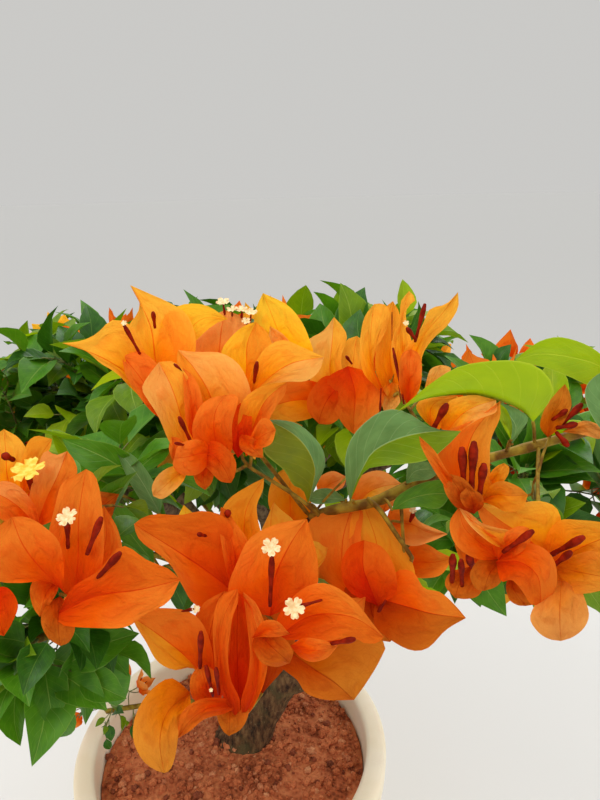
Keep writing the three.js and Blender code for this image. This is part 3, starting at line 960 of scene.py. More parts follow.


# The flowers at the front, drawn as the photograph shows them. Places are x and y in the photograph's
# pixels and mm towards the eye from the mass's middle.
# bracts: the tint, a lit or shaded copy of the bract's orange that carries painted light or shade, or one for
# each half; how far in mm the two edges stand off the midrib towards the eye; the midrib from foot to tip;
# and the two edges as x and y
# tubes: both ends and the thickness. stars: place, width in pixels and how far it leans upwards.
# stems: where the twigs have to end
nearFlowers = {
    "bracts_front_top": {
        "bracts": [
            ("Amber", 3, -3, [(158, 408, -2), (130, 376, 4), (98, 356, 6), (62, 343, 6)],
             [(152, 372), (136, 332), (122, 321), (110, 321), (96, 334), (80, 341)],
             [(146, 402), (130, 387), (116, 373), (100, 363), (84, 350)]),
            ("Orange", 1, 1, [(170, 422, 4), (152, 395, 9), (136, 372, 8), (122, 356, 5)],
             [(172, 395), (162, 370), (142, 352)], [(154, 414), (138, 395), (126, 376)]),
            ("Amber", 2, 2, [(166, 405, -8), (156, 365, -5), (150, 325, -7), (130, 285, -9)],
             [(146, 390), (128, 350), (127, 329), (138, 312), (139, 299)],
             [(186, 385), (196, 345), (188, 316), (170, 303), (148, 293)]),
            ("Gold", 2, 3, [(172, 402, -12), (180, 350, -9), (200, 320, -11), (228, 319, -13)],
             [(160, 370), (160, 325), (178, 306), (205, 305)],
             [(184, 385), (188, 352), (204, 333), (217, 323)]),
            ("Pale", 0, 1, [(214, 386, -16), (219, 352, -16), (221, 332, -17), (225, 310, -18)],
             [(194, 372), (187, 351), (197, 332), (211, 317)],
             [(238, 374), (251, 345), (254, 328), (243, 317)]),
            (("Gold", "Honey"), 3, 3, [(238, 404, -5), (246, 375, -2), (247, 345, -4), (256, 322, -9)],
             [(226, 382), (221, 354), (230, 338), (244, 326)], [(264, 388), (273, 355), (268, 334)]),
            ("Gold", 2, 3, [(288, 368, -18), (281, 340, -15), (273, 318, -17), (263, 293, -19)],
             [(272, 352), (262, 334), (254, 322), (257, 306)],
             [(312, 356), (309, 338), (300, 319), (286, 304)]),
            ("Light", 1, 1, [(290, 364, -13), (282, 346, -12), (270, 326, -14)],
             [(276, 354), (269, 340)], [(294, 350), (284, 335)]),
            (("Honey", "Light"), 1, 4, [(222, 446, 0), (211, 398, 8), (194, 368, 8), (178, 350, 6)],
             [(204, 432), (190, 404), (183, 380), (177, 362)],
             [(252, 420), (251, 392), (240, 366), (221, 353), (197, 352)]),
            (("Amber", "Light"), 2, 3, [(240, 408, 4), (262, 384, 8), (290, 364, 8), (324, 357, 6)],
             [(246, 388), (256, 362), (268, 346), (284, 340), (302, 347)],
             [(247, 400), (262, 388), (284, 382), (306, 381), (319, 371)]),
            (("Light", "Amber"), 5, 1, [(192, 458, 13), (182, 420, 14), (172, 388, 16), (159, 362, 14)],
             [(172, 446), (158, 416), (146, 397), (142, 387), (151, 372)],
             [(200, 432), (197, 400), (189, 378), (174, 362)]),
            ("Orange", 1, 1, [(198, 448, 15), (192, 412, 18), (190, 390, 18), (183, 368, 15)],
             [(187, 425), (184, 397)], [(204, 415), (200, 390), (192, 375)]),
            ("Orange", -4, -2, [(220, 458, 16), (214, 430, 24), (216, 410, 26), (226, 395, 21)],
             [(200, 452), (192, 430), (199, 408), (211, 398)],
             [(232, 450), (232, 425), (238, 402), (236, 395)]),
            ("Red", 0, 0, [(238, 458, 15), (238, 430, 20), (240, 403, 18)],
             [(228, 440), (226, 418)], [(250, 442), (252, 420), (248, 406)]),
            (("Honey", "Orange"), 2, -2, [(246, 456, 12), (254, 425, 18), (266, 400, 17), (287, 382, 13)],
             [(238, 430), (241, 404), (253, 391), (269, 384)],
             [(262, 446), (268, 424), (276, 407), (285, 394)]),
            ("Orange", 3, 3, [(248, 450, 19), (262, 436, 23), (276, 430, 22)],
             [(252, 434), (261, 419), (270, 420)], [(262, 448), (272, 443)]),
            ("Orange", 0, 0, [(240, 434, 20), (250, 446, 22), (263, 458, 19)],
             [(252, 437), (262, 447)], [(240, 448), (251, 456)]),
            ("Orange", -6, -5, [(212, 452, 26), (198, 454, 35), (186, 457, 36), (174, 458, 28)],
             [(206, 467), (196, 475), (181, 474), (173, 466)], [(204, 441), (190, 440), (178, 446)]),
            ("Deep", -4, -4, [(200, 448, 24), (214, 456, 31), (224, 468, 31), (231, 483, 26)],
             [(214, 441), (228, 449), (236, 462), (235, 475)], [(200, 460), (209, 470), (220, 481)]),
            ("Light", 2, 2, [(188, 466, 20), (177, 475, 27), (165, 486, 28), (153, 496, 24)],
             [(173, 466), (159, 474), (152, 486)], [(184, 480), (173, 492), (162, 499)]),
            ("Deep", 0, 0, [(206, 462, 18), (203, 476, 21), (205, 490, 18)],
             [(194, 470), (196, 483)], [(214, 468), (212, 482)]),
            ("Deep", 0, 0, [(188, 472, 16), (178, 456, 19), (171, 436, 16)],
             [(176, 466), (169, 450)], [(192, 455), (181, 440)]),
        ],
        "tubes": [(140, 354, 8, 124, 325, 16, 0.9), (155, 328, -4, 153, 312, 2, 0.96),
                  (253, 390, 4, 257, 362, 14, 0.96), (191, 442, 24, 179, 417, 34, 0.9),
                  (188, 446, 30, 175, 443, 38, 0.64), (184, 372, 16, 174, 364, 18, 0.58),
                  (230, 344, -24, 223, 303, -16, 0.51), (234, 346, -24, 232, 312, -16, 0.51),
                  (240, 346, -24, 242, 311, -16, 0.51), (246, 348, -24, 251, 315, -16, 0.51),
                  (244, 348, -24, 247, 323, -15, 0.51)],
        "stars": [(223, 302, -15, 8, 1.3), (232, 309, -13, 6, 1.2), (241, 309, -15, 7, 1.3),
                  (251, 312, -13, 7, 1.2), (246, 321, -11, 5, 0.9), (124, 323, 17, 3, 0.4)],
        "stems": [(160, 412, -6), (190, 458, 10), (240, 452, 8), (240, 408, -4), (238, 350, -25),
                  (288, 370, -19), (214, 388, -17), (206, 462, 16)],
    },
    "bracts_front_upper_right": {
        "bracts": [
            ("Honey", 2, 2, [(394, 400, 0), (390, 360, 2), (391, 330, 2), (393, 301, 0)],
             [(384, 390), (376, 372), (376, 350), (383, 312)],
             [(400, 385), (396, 360), (395, 338), (400, 316)]),
            ("Amber", 2, -2, [(387, 397, 6), (371, 362, 8), (371, 330, 8), (374, 304, 5)],
             [(376, 387), (363, 372), (360, 350), (361, 332), (365, 316)],
             [(381, 385), (374, 367), (376, 350), (385, 333), (390, 313), (384, 304)]),
            ("Amber", 2, 2, [(408, 405, 9), (404, 365, 12), (402, 332, 10), (403, 314, 9), (409, 291, 8)],
             [(400, 390), (392, 362), (392, 340), (399, 322), (400, 312), (401, 301)],
             [(420, 388), (420, 362), (412, 342), (406, 318), (408, 307), (416, 299)]),
            ("Amber", 3, 2, [(408, 405, 14), (412, 365, 17), (424, 335, 15), (442, 314, 11), (458, 292, 8)],
             [(400, 380), (402, 354), (414, 338), (422, 326), (430, 309), (446, 304)],
             [(421, 384), (422, 357), (433, 339), (447, 326), (458, 308)]),
            ("Orange", 2, 2, [(408, 406, 18), (409, 385, 21), (409, 368, 21), (411, 349, 19)],
             [(400, 390), (399, 368), (402, 354)], [(419, 386), (422, 368), (419, 354)]),
            (("Light", "Amber"), 2, 2, [(334, 406, -8), (330, 370, -6), (332, 345, -8), (334, 317, -10)],
             [(316, 394), (307, 368), (307, 342), (323, 331)],
             [(345, 385), (341, 360), (347, 338), (342, 326)]),
            ("Amber", 0, 0, [(354, 412, -10), (352, 380, -9), (354, 355, -11), (357, 336, -12)],
             [(340, 385), (340, 360), (346, 341)], [(370, 385), (366, 360), (363, 342)]),
            (("Deep", "Orange"), -2, -1, [(348, 366, -3), (355, 392, 5), (354, 415, 6), (354, 434, 2)],
             [(328, 378), (331, 402), (340, 420), (347, 429)],
             [(372, 374), (384, 394), (379, 412), (365, 429)]),
            ("Deep", -2, -2, [(346, 380, 0), (330, 396, 5), (322, 411, 5), (319, 424, 1)],
             [(325, 376), (309, 394), (308, 411)], [(348, 400), (341, 416), (331, 424)]),
            ("Light", 0, 0, [(391, 382, 2), (390, 395, 4), (389, 412, 2)],
             [(383, 388), (382, 402), (384, 411)], [(401, 386), (401, 400), (395, 409)]),
            ("Light", 2, 2, [(426, 400, -14), (432, 384, -14), (441, 365, -14)],
             [(425, 388), (429, 372), (434, 367)], [(440, 384), (451, 370), (447, 366)]),
            (("Honey", "Orange"), 1, 1, [(328, 404, -10), (306, 400, -5), (286, 402, -5), (260, 411, -9)],
             [(318, 415), (300, 421), (276, 422)], [(320, 384), (296, 380), (272, 388)]),
        ],
        "tubes": [(401, 402, 8, 397, 372, 8, 0.34), (397, 372, 8, 392, 340, 7, 0.3),
                  (392, 340, 7, 392, 312, 5, 0.26), (415, 342, 20, 425, 304, 26, 1.08),
                  (416, 340, 22, 407, 328, 28, 1.08), (404, 404, 22, 393, 348, 16, 0.72),
                  (381, 388, 8, 380, 412, 9, 0.5), (352, 364, 0, 346, 356, 4, 0.72)],
        "stars": [(406, 323, 28, 3, 0.4)],
        "stems": [(407, 406, 9), (390, 400, 2), (338, 408, -10), (352, 412, -11), (391, 382, 0),
                  (426, 400, -16)],
    },
    "bracts_front_low": {
        "bracts": [
            (("Orange", "Deep"), -3, 3, [(236, 594, -6), (208, 572, 0), (172, 548, 4), (134, 524, 4)],
             [(214, 610), (194, 604), (182, 585), (172, 567), (160, 555), (146, 546), (137, 536)],
             [(240, 560), (229, 522), (206, 511), (180, 515), (156, 514), (142, 518)]),
            ("Deep", 2, 2, [(240, 594, -3), (236, 560, 3), (230, 535, 3), (221, 507, 0)],
             [(229, 580), (222, 548), (219, 522)], [(254, 562), (248, 540), (235, 522), (228, 511)]),
            ("Honey", 2, 2, [(246, 570, -20), (244, 530, -15), (248, 505, -15), (264, 478, -17)],
             [(230, 545), (221, 515), (230, 498), (250, 485)],
             [(262, 545), (258, 520), (257, 505), (263, 490)]),
            ("Honey", 0, 0, [(291, 526, -66), (290, 500, -63), (290, 482, -63), (290, 465, -65)],
             [(275, 518), (268, 500), (274, 477)], [(308, 517), (311, 499), (303, 477)]),
            (("Orange", "Deep"), 1, 1, [(270, 616, 0), (274, 580, 7), (288, 548, 7), (307, 519, 4)],
             [(246, 610), (228, 592), (238, 560), (251, 537), (280, 523)],
             [(298, 604), (316, 590), (318, 563), (313, 540)]),
            (("Orange", "Honey"), 0, -3, [(213, 692, 3), (190, 661, 12), (160, 636, 15), (131, 616, 12)],
             [(213, 656), (205, 628), (190, 612), (165, 608), (146, 610)],
             [(206, 682), (192, 668), (174, 670), (157, 661), (146, 642), (137, 628)]),
            ("Deep", 2, 2, [(213, 694, -4), (208, 655, 2), (213, 620, 3), (224, 591, 0)],
             [(198, 667), (191, 630), (203, 604)], [(228, 660), (232, 620), (236, 597)]),
            ("Red", 9, 9, [(240, 722, 3), (238, 680, 1), (237, 640, 1), (238, 592, 6)],
             [(228, 702), (221, 670), (221, 640), (228, 608)],
             [(252, 702), (260, 670), (258, 640), (251, 607)]),
            ("Deep", -1, 2, [(238, 720, 9), (224, 688, 16), (220, 655, 18), (223, 620, 15), (238, 589, 9)],
             [(228, 706), (217, 682), (214, 655), (213, 625), (218, 600), (229, 591)],
             [(240, 700), (231, 680), (228, 655), (232, 620), (238, 602)]),
            (("Deep", "Orange"), 2, -1,
             [(243, 720, 9), (255, 690, 15), (259, 660, 17), (256, 625, 12), (243, 592, 7)],
             [(241, 700), (247, 680), (250, 655), (247, 625)],
             [(254, 706), (265, 680), (268, 655), (266, 628), (256, 603)]),
            ("Rust", 0, 0, [(262, 694, -8), (268, 650, -3), (268, 620, -3), (262, 595, -3)],
             [(246, 650), (242, 610), (250, 596)], [(293, 655), (291, 620), (277, 602)]),
            ("Rust", -4, -4, [(256, 630, 17), (270, 645, 25), (282, 656, 27), (290, 663, 22)],
             [(253, 646), (261, 662), (276, 667)], [(270, 633), (285, 639), (293, 652)]),
            ("Orange", 0, 0, [(252, 638, 20), (270, 629, 26), (290, 634, 22)],
             [(262, 622), (277, 621)], [(262, 637), (277, 637)]),
            (("Orange", "Deep"), -2, 2, [(274, 640, 0), (310, 616, 13), (352, 617, 15), (384, 637, 10)],
             [(278, 616), (298, 592), (318, 583), (336, 587), (356, 602), (374, 625)],
             [(296, 640), (326, 641), (352, 638), (364, 643), (377, 643)]),
            ("Orange", -3, -3, [(290, 646, 13), (308, 650, 23), (322, 650, 23), (338, 646, 16)],
             [(300, 657), (312, 662), (327, 658)], [(303, 638), (318, 639), (330, 642)]),
            (("Rust", "Umber"), 0, 0, [(282, 646, -5), (312, 668, 0), (335, 683, 0), (354, 700, -4)],
             [(280, 665), (297, 680), (306, 693), (326, 700)],
             [(320, 645), (362, 636), (385, 643), (380, 660), (367, 682)]),
            ("Rust", 2, 2, [(232, 694, 5), (230, 715, 10), (229, 736, 8)],
             [(216, 703), (218, 720), (223, 731)], [(248, 702), (248, 716), (241, 729)]),
            ("Ochre", -3, -1, [(190, 692, 10), (168, 712, 18), (160, 740, 19), (164, 773, 14)],
             [(171, 678), (150, 691), (136, 714), (133, 738), (141, 758), (153, 769)],
             [(190, 708), (180, 718), (178, 738), (175, 757), (170, 770)]),
            ("Deep", 2, -2, [(242, 704, 9), (212, 707, 17), (192, 719, 19), (177, 739, 14)],
             [(222, 698), (198, 700), (181, 714)], [(226, 713), (205, 719), (190, 731)]),
            ("Deep", 1, 1, [(214, 704, 5), (206, 685, 11), (200, 662, 9)],
             [(194, 700), (190, 680)], [(222, 696), (215, 672)]),
        ],
        "tubes": [(270, 606, 8, 272, 556, 20, 1.08), (200, 668, 12, 201, 632, 22, 1.08),
                  (322, 600, 16, 297, 607, 22, 0.72), (206, 536, 4, 198, 534, 11, 0.86),
                  (227, 520, -2, 228, 511, 4, 1.22), (330, 644, 18, 355, 639, 24, 1.01),
                  (213, 696, 10, 206, 666, 20, 0.86), (219, 694, 12, 216, 668, 24, 0.86),
                  (178, 612, 14, 194, 609, 18, 0.58)],
        "stars": [(271, 547, 21, 9.5, 0.5), (294, 608, 23, 10.5, 0.3), (196, 609, 18, 4, 0.4),
                  (211, 690, 21, 2, 0.4)],
        "stems": [(237, 596, -8), (270, 618, -2), (213, 694, 0), (240, 722, 0), (286, 642, -4),
                  (262, 694, -9), (291, 526, -67)],
    },
    "bracts_front_lower_right": {
        "bracts": [
            ("Orange", 2, 2, [(372, 612, 0), (345, 572, 4), (343, 540, -3), (352, 507, -14)],
             [(346, 602), (317, 580), (310, 550), (306, 527), (316, 516), (336, 509)],
             [(378, 592), (364, 560), (361, 535), (363, 512)]),
            ("Honey", 1, 2, [(376, 614, -6), (380, 575, 1), (376, 540, -3), (364, 505, -14)],
             [(358, 592), (350, 560), (350, 525), (355, 508)],
             [(412, 604), (415, 572), (404, 547), (390, 526), (376, 508)]),
            (("Red", "Deep"), 2, 2, [(378, 606, 9), (368, 582, 12), (363, 566, 12), (364, 540, 8)],
             [(350, 592), (341, 568), (349, 547)], [(396, 592), (394, 566), (382, 547)]),
            (("Orange", "Rust"), 1, 1, [(376, 598, 6), (405, 606, 12), (434, 614, 12), (466, 618, 7)],
             [(396, 572), (413, 572), (424, 588), (440, 592), (454, 604)],
             [(374, 624), (388, 638), (410, 650), (428, 648), (446, 630)]),
            ("Rust", 0, 0, [(372, 592, -2), (372, 614, 5), (390, 642, 1)],
             [(344, 588), (348, 620), (372, 638)], [(398, 598), (406, 624)]),
            ("Pale", -8, 7, [(386, 524, -16), (410, 524, -10), (428, 532, -13), (448, 534, -15)],
             [(391, 508), (408, 507), (419, 521), (434, 528)], [(394, 538), (412, 546), (430, 542)]),
            ("Orange", -4, 4, [(402, 562, -16), (420, 562, -13), (436, 562, -13), (453, 558, -15)],
             [(411, 545), (426, 544), (440, 552)], [(412, 576), (428, 578), (442, 574)]),
            (("Pale", "Light"), -9, 7, [(352, 510, -28), (368, 493, -24), (384, 486, -24), (402, 484, -26)],
             [(351, 488), (364, 474), (383, 471)], [(362, 510), (380, 503), (395, 495)]),
            ("Pale", -7, 6, [(318, 494, -30), (330, 484, -28), (347, 477, -29)],
             [(317, 480), (332, 471)], [(326, 494), (342, 488)]),
            ("Pale", 0, 0, [(382, 514, -18), (386, 504, -16), (393, 495, -17)],
             [(378, 506), (384, 497)], [(391, 508), (396, 501)]),
        ],
        "tubes": [(386, 600, 14, 378, 612, 16, 0.8), (408, 526, -12, 414, 512, -7, 1.04)],
        "stars": [(413, 510, -6, 4, 0.4)],
        "stems": [(374, 612, -5), (376, 598, 2), (388, 522, -18), (402, 562, -18), (354, 508, -29),
                  (320, 494, -31)],
    },
    "bracts_front_right": {
        "bracts": [
            (("Orange", "Ochre"), 7, 3, [(468, 508, -2), (465, 465, -6), (474, 432, -7), (500, 401, -5)],
             [(448, 484), (438, 458), (447, 432), (474, 420)],
             [(491, 496), (490, 468), (491, 440), (500, 418)]),
            ("Orange", 1, 1, [(470, 504, 9), (452, 483, 13), (436, 462, 11), (419, 436, 7)],
             [(463, 488), (448, 472), (435, 451)], [(461, 500), (444, 485), (429, 462), (421, 446)]),
            (("Amber", "Light"), 2, 2, [(444, 436, -8), (458, 418, -3), (474, 407, -3), (496, 400, -7)],
             [(440, 420), (448, 402), (472, 395)], [(458, 433), (477, 420), (496, 412)]),
            ("Amber", 2, 2, [(438, 432, -12), (430, 415, -9), (436, 402, -9), (457, 396, -11)],
             [(424, 420), (416, 406), (428, 397)], [(446, 420), (450, 408), (461, 401)]),
            ("Honey", 1, 1, [(490, 484, -4), (496, 476, -1), (504, 463, -3)],
             [(490, 474), (497, 466)], [(500, 485), (508, 475), (509, 467)]),
            (("Ochre", "Honey"), 2, -2, [(480, 502, 2), (495, 495, 9), (512, 496, 11), (528, 495, 6)],
             [(490, 486), (503, 481), (519, 487)], [(492, 505), (507, 512), (522, 509)]),
            ("Rust", 0, 0, [(474, 514, 5), (464, 499, 13), (456, 485, 15), (445, 473, 10)],
             [(457, 508), (446, 494), (443, 481)], [(484, 504), (475, 491), (463, 478)]),
            ("Rust", 0, 0, [(474, 510, 17), (472, 499, 18), (467, 487, 16)],
             [(464, 506), (460, 495)], [(483, 504), (481, 494)]),
            ("Orange", 2, 4, [(503, 558, 4), (479, 542, 11), (464, 527, 12), (459, 507, 9)],
             [(482, 560), (463, 552), (452, 538), (450, 521)], [(500, 541), (485, 530), (472, 518)]),
            ("Light", 4, -5, [(506, 549, 10), (488, 535, 15), (474, 523, 16), (459, 508, 12)],
             [(494, 545), (480, 535), (468, 523)], [(521, 534), (498, 528), (482, 523), (470, 513)]),
            (("Orange", "Deep"), -3, 3, [(498, 560, 9), (508, 547, 13), (518, 538, 14), (529, 528, 10)],
             [(493, 545), (508, 531), (520, 526)], [(515, 556), (530, 543)]),
            ("Rust", 0, 0, [(502, 560, 4), (490, 573, 9), (484, 591, 6)],
             [(482, 558), (470, 573), (475, 588)], [(504, 575), (497, 586)]),
            ("Rust", -1, -1, [(472, 566, -9), (460, 583, -4), (455, 598, -2)],
             [(451, 572), (445, 585)], [(485, 580), (479, 595), (467, 599)]),
            (("Orange", "Deep"), -4, -3, [(496, 562, 6), (520, 562, 18), (538, 577, 20), (541, 605, 12)],
             [(510, 548), (528, 543), (545, 549), (555, 562), (557, 583), (551, 598)],
             [(501, 581), (512, 580), (522, 591), (531, 604)]),
            ("Rust", 0, 0, [(510, 572, 2), (514, 590, 6), (526, 606, 4)],
             [(506, 586), (509, 599), (517, 605)], [(524, 580), (532, 592), (537, 603)]),
            ("Wan", -4, -4, [(562, 574, 5), (560, 604, 17), (560, 625, 18), (561, 641, 10)],
             [(548, 583), (537, 601), (530, 618), (538, 632), (549, 639)],
             [(577, 582), (586, 602), (589, 616), (584, 628), (573, 637)]),
            (("Orange", "Amber"), 2, -2, [(552, 562, 0), (528, 539, 6), (502, 522, 3), (477, 502, -8)],
             [(530, 558), (508, 541), (490, 531), (480, 518)],
             [(562, 538), (558, 510), (540, 501), (515, 504), (495, 505)]),
            (("Honey", "Ochre"), 2, 2, [(552, 564, 1), (578, 549, 6), (604, 538, 4), (630, 530, 0)],
             [(546, 540), (558, 521), (580, 520), (606, 523)], [(574, 568), (598, 559), (618, 548)]),
            ("Ochre", 1, 1, [(552, 564, 5), (574, 571, 9), (594, 575, 8), (618, 580, 4)],
             [(572, 556), (594, 551), (612, 563)], [(556, 583), (575, 593), (590, 593), (608, 588)]),
            ("Umber", 1, 1, [(548, 438, -40), (552, 416, -37), (561, 401, -37), (565, 384, -38)],
             [(540, 426), (545, 408), (556, 393)], [(561, 426), (571, 408), (570, 394)]),
            ("Wan", 0, 0, [(562, 432, -40), (584, 427, -37), (604, 432, -38)],
             [(582, 421), (597, 424)], [(584, 435), (599, 439)]),
        ],
        "tubes": [(464, 490, 8, 462, 448, 18, 1.6), (471, 494, 10, 474, 442, 20, 1.6),
                  (479, 498, 10, 484, 464, 18, 1.5), (503, 552, 12, 533, 531, 24, 1.32),
                  (549, 556, 6, 584, 537, 18, 1.41), (553, 566, 8, 571, 552, 18, 1.32),
                  (432, 431, -6, 447, 404, 0, 1.5), (452, 582, -4, 453, 555, 6, 1.41),
                  (462, 586, -4, 461, 560, 6, 1.22), (476, 576, -4, 468, 555, 8, 1.41),
                  (552, 420, -38, 567, 410, -33, 1.22), (560, 426, -38, 582, 404, -33, 1.41),
                  (556, 428, -38, 577, 424, -33, 1.41), (556, 432, -38, 568, 446, -33, 1.41)],
        "stars": [],
        "stems": [(468, 508, -4), (440, 434, -13), (500, 560, 0), (552, 564, -4), (472, 566, -11),
                  (510, 572, 0), (550, 436, -40), (490, 484, -6)],
    },
    "bracts_front_left": {
        "bracts": [
            ("Amber", 2, 2, [(20, 508, -15), (8, 480, -12), (6, 455, -12), (4, 429, -14)],
             [(-10, 488), (-14, 458), (-7, 438)], [(31, 480), (30, 458), (20, 439)]),
            ("Honey", 2, 2, [(22, 504, -11), (30, 475, -9), (39, 458, -9), (52, 439, -12)],
             [(20, 475), (26, 446), (36, 436)], [(39, 474), (43, 458), (50, 449)]),
            (("Pale", "Orange"), 2, 2, [(36, 528, -7), (46, 500, -3), (58, 475, -3), (67, 451, -6)],
             [(29, 500), (36, 472), (45, 451), (56, 455)], [(56, 518), (65, 496), (77, 474), (74, 460)]),
            ("Orange", 2, 2, [(74, 602, -3), (78, 560, 4), (79, 515, 5), (86, 469, 0)],
             [(54, 580), (47, 545), (55, 506), (62, 483), (74, 476)],
             [(98, 582), (104, 545), (102, 505), (98, 483), (93, 473)]),
            ("Orange", 1, 2, [(78, 600, -5), (96, 567, -1), (106, 540, -1), (104, 506, -5)],
             [(84, 560), (92, 530)], [(110, 574), (122, 553), (118, 530), (110, 515)]),
            (("Deep", "Orange"), 2, 3, [(58, 614, 7), (96, 596, 15), (138, 590, 17), (180, 580, 14)],
             [(72, 588), (98, 571), (122, 546), (147, 560), (169, 569)],
             [(62, 625), (96, 628), (126, 627), (146, 614), (168, 602)]),
            ("Orange", 2, 2, [(63, 590, 6), (38, 565, 11), (22, 543, 13), (12, 517, 8)],
             [(46, 581), (20, 583), (-6, 579), (-15, 552), (-2, 527)],
             [(64, 568), (59, 542), (42, 525), (26, 517)]),
            ("Rust", 0, 0, [(60, 596, 3), (58, 622, 9), (60, 646, 6)],
             [(45, 606), (41, 622), (48, 638)], [(73, 610), (75, 629), (69, 642)]),
            ("Deep", 0, 0, [(58, 580, 1), (46, 594, 6), (40, 617, 6)],
             [(40, 574), (30, 588), (33, 607)], [(58, 590), (50, 604)]),
            ("Red", 0, 0, [(-16, 592, -2), (-4, 612, 2), (4, 636, 0)],
             [(-22, 612), (-12, 631)], [(6, 587), (18, 604), (12, 623)]),
            (("Pale", "Orange"), 1, 1, [(40, 530, -5), (22, 510, 0), (6, 498, 1), (-12, 490, -2)],
             [(36, 508), (20, 487), (2, 481)], [(22, 525), (4, 521), (-12, 509)]),
        ],
        "tubes": [(87, 554, 6, 101, 518, 18, 1.28), (96, 580, 14, 120, 553, 24, 1.28),
                  (14, 460, -10, 3, 455, -4, 1.44), (34, 502, -8, 28, 472, 3, 1.04),
                  (68, 548, 6, 67, 519, 13, 1.04)],
        "stars": [(28, 470, 4, 18, 1.25), (67, 517, 14, 10.5, 1.15)],
        "stems": [(22, 506, -16), (38, 530, -8), (74, 602, -5), (60, 594, 2), (-4, 560, -8)],
    },
}

# Each tint gives the foot, body and tip of one bract orange, and the tints are lit and shaded copies of it:
# Gold, Amber and Light carry painted light where light comes through the bract; Ochre, Umber, Rust and Red
# carry painted shade in cups, folds and undersides; the rest lie between
bractLitAndShadedTints = {
    "Gold": ("#FF8006", "#FFB80C", "#FFC830"),
    "Amber": ("#F45602", "#FFA00C", "#FFB838"),
    "Light": ("#F86C08", "#FFA824", "#FFBC58"),
    "Honey": ("#F05A00", "#F88E06", "#FCA82C"),
    "Ochre": ("#CC4C00", "#EA7E06", "#F29A30"),
    "Umber": ("#AC3A00", "#CC6404", "#DC8424"),
    "Orange": ("#EA3E00", "#F66404", "#FA8A28"),
    "Deep": ("#D22A00", "#EC5202", "#F27A1C"),
    "Red": ("#C41800", "#E83600", "#F25A06"),
    "Rust": ("#AC2600", "#CA4E02", "#DA741C"),
    "Pale": ("#F0560A", "#FF8A24", "#FFA650"),
    "Wan": ("#D05C08", "#EC8E30", "#F4A650"),
}
massDepth = {name: depthOf(np.array(masses[name][0]) * mm) for name in nearFlowers}


def nearSpot(mass, x, y, out):
    return seenAt(x, y, massDepth[mass] - out * mm)


def smoothLine(points, count):
    # a curve through all the points, then walked in equal steps
    points = np.asarray(points, dtype=float)
    padded = np.vstack([2 * points[0] - points[1], points, 2 * points[-1] - points[-2]])
    fine = []
    for before, first, last, after in zip(padded, padded[1:], padded[2:], padded[3:]):
        squared = 2 * before - 5 * first + 4 * last - after
        cubed = 3 * first - before - 3 * last + after
        for s in shares(11)[:-1]:
            fine.append(first + 0.5 * s * (last - before + s * (squared + s * cubed)))
    fine = np.array(fine + [points[-1]])
    reach = np.concatenate([[0], np.cumsum(np.linalg.norm(np.diff(fine[:, :2], axis=0), axis=1))])
    steps = np.linspace(0, reach[-1], count)
    return np.stack([np.interp(steps, reach, column) for column in fine.T], axis=1)


drawnShape = {
    "steps": 41,
    "waves": (1.6, 1.6),
    # dents in the face: waves along it and across it, how the phase is shifted, and how deep
    "dents": [(1.1, 0.55, 1, 1), (1.9, -0.8, 2.3, 0.6), (3.3, 1.7, 5.1, 0.4)],
}


def between(chance, least, more):
    return least + more * chance.random()


def layDrawn(kind, tints, blank, depth, offs, rib, edges, chance, ripple=1.0, dents=0.75):
    # a blade drawn by its midrib and its two edges; each half may have a tint of its own
    u, v = blank["u"], blank["v"]
    ends = (tuple(rib[0][:2]), tuple(rib[-1][:2]))
    steps = shares(drawnShape["steps"])
    rib = smoothLine(rib, len(steps))
    sides = [smoothLine([ends[0], *edge, ends[1]], len(steps)) for edge in edges]
    x, y, out = (np.interp(u, steps, rib[:, k]) for k in range(3))
    edgeX, edgeY = (np.where(v < 0, *(np.interp(u, steps, side[:, k]) for side in sides)) for k in range(2))
    reach = np.abs(v)
    x, y = x + (edgeX - x) * reach, y + (edgeY - y) * reach
    bow = np.sqrt(np.clip(4 * u * (1 - u), 0, 1))
    first, waves = chance.random(), between(chance, *drawnShape["waves"])
    out = out + np.where(v < 0, *offs) * reach ** 2 * bow + ripple * bow * rippleAt(blank, waves, first)
    out += dents * bow * sum(deep * np.sin(math.tau * (lengthways * u + crossways * v + shift * first))
                             for lengthways, crossways, shift, deep in drawnShape["dents"])
    points = seenAt(x, y, depth - out * mm)
    if isinstance(tints, str):
        heapUp(kind + tints, points, blank["faces"], blank["map"])
        return
    for tint, (used, faces) in zip(tints, blank["halves"]):
        heapUp(kind + tint, points[used], faces, blank["map"][used])


# whole flowers of the left cluster, past the photograph's edge
pastEdge = {"bracts_front_left": [(-30, 560, -8), (-46, 516, -14), (-52, 600, -8)]}

# single flowers behind the drawn ones, facing away: x, y, mm away from the mass's middle, bract length
backFlowers = {
    "bracts_front_top": [(172, 378, 26, 36), (250, 372, 30, 36), (214, 432, 20, 34)],
    "bracts_front_upper_right": [(352, 384, 26, 34), (390, 356, 22, 28)],
    "bracts_front_low": [(196, 560, 26, 36), (284, 572, 26, 38), (234, 650, 22, 36), (330, 636, 22, 34)],
    "bracts_front_lower_right": [(344, 556, 24, 36), (398, 606, 20, 32)],
    "bracts_front_right": [(472, 470, 24, 26), (503, 556, 22, 34), (560, 552, 22, 34)],
    "bracts_front_left": [(20, 500, 26, 36), (76, 524, 24, 30), (80, 588, 22, 34)],
}

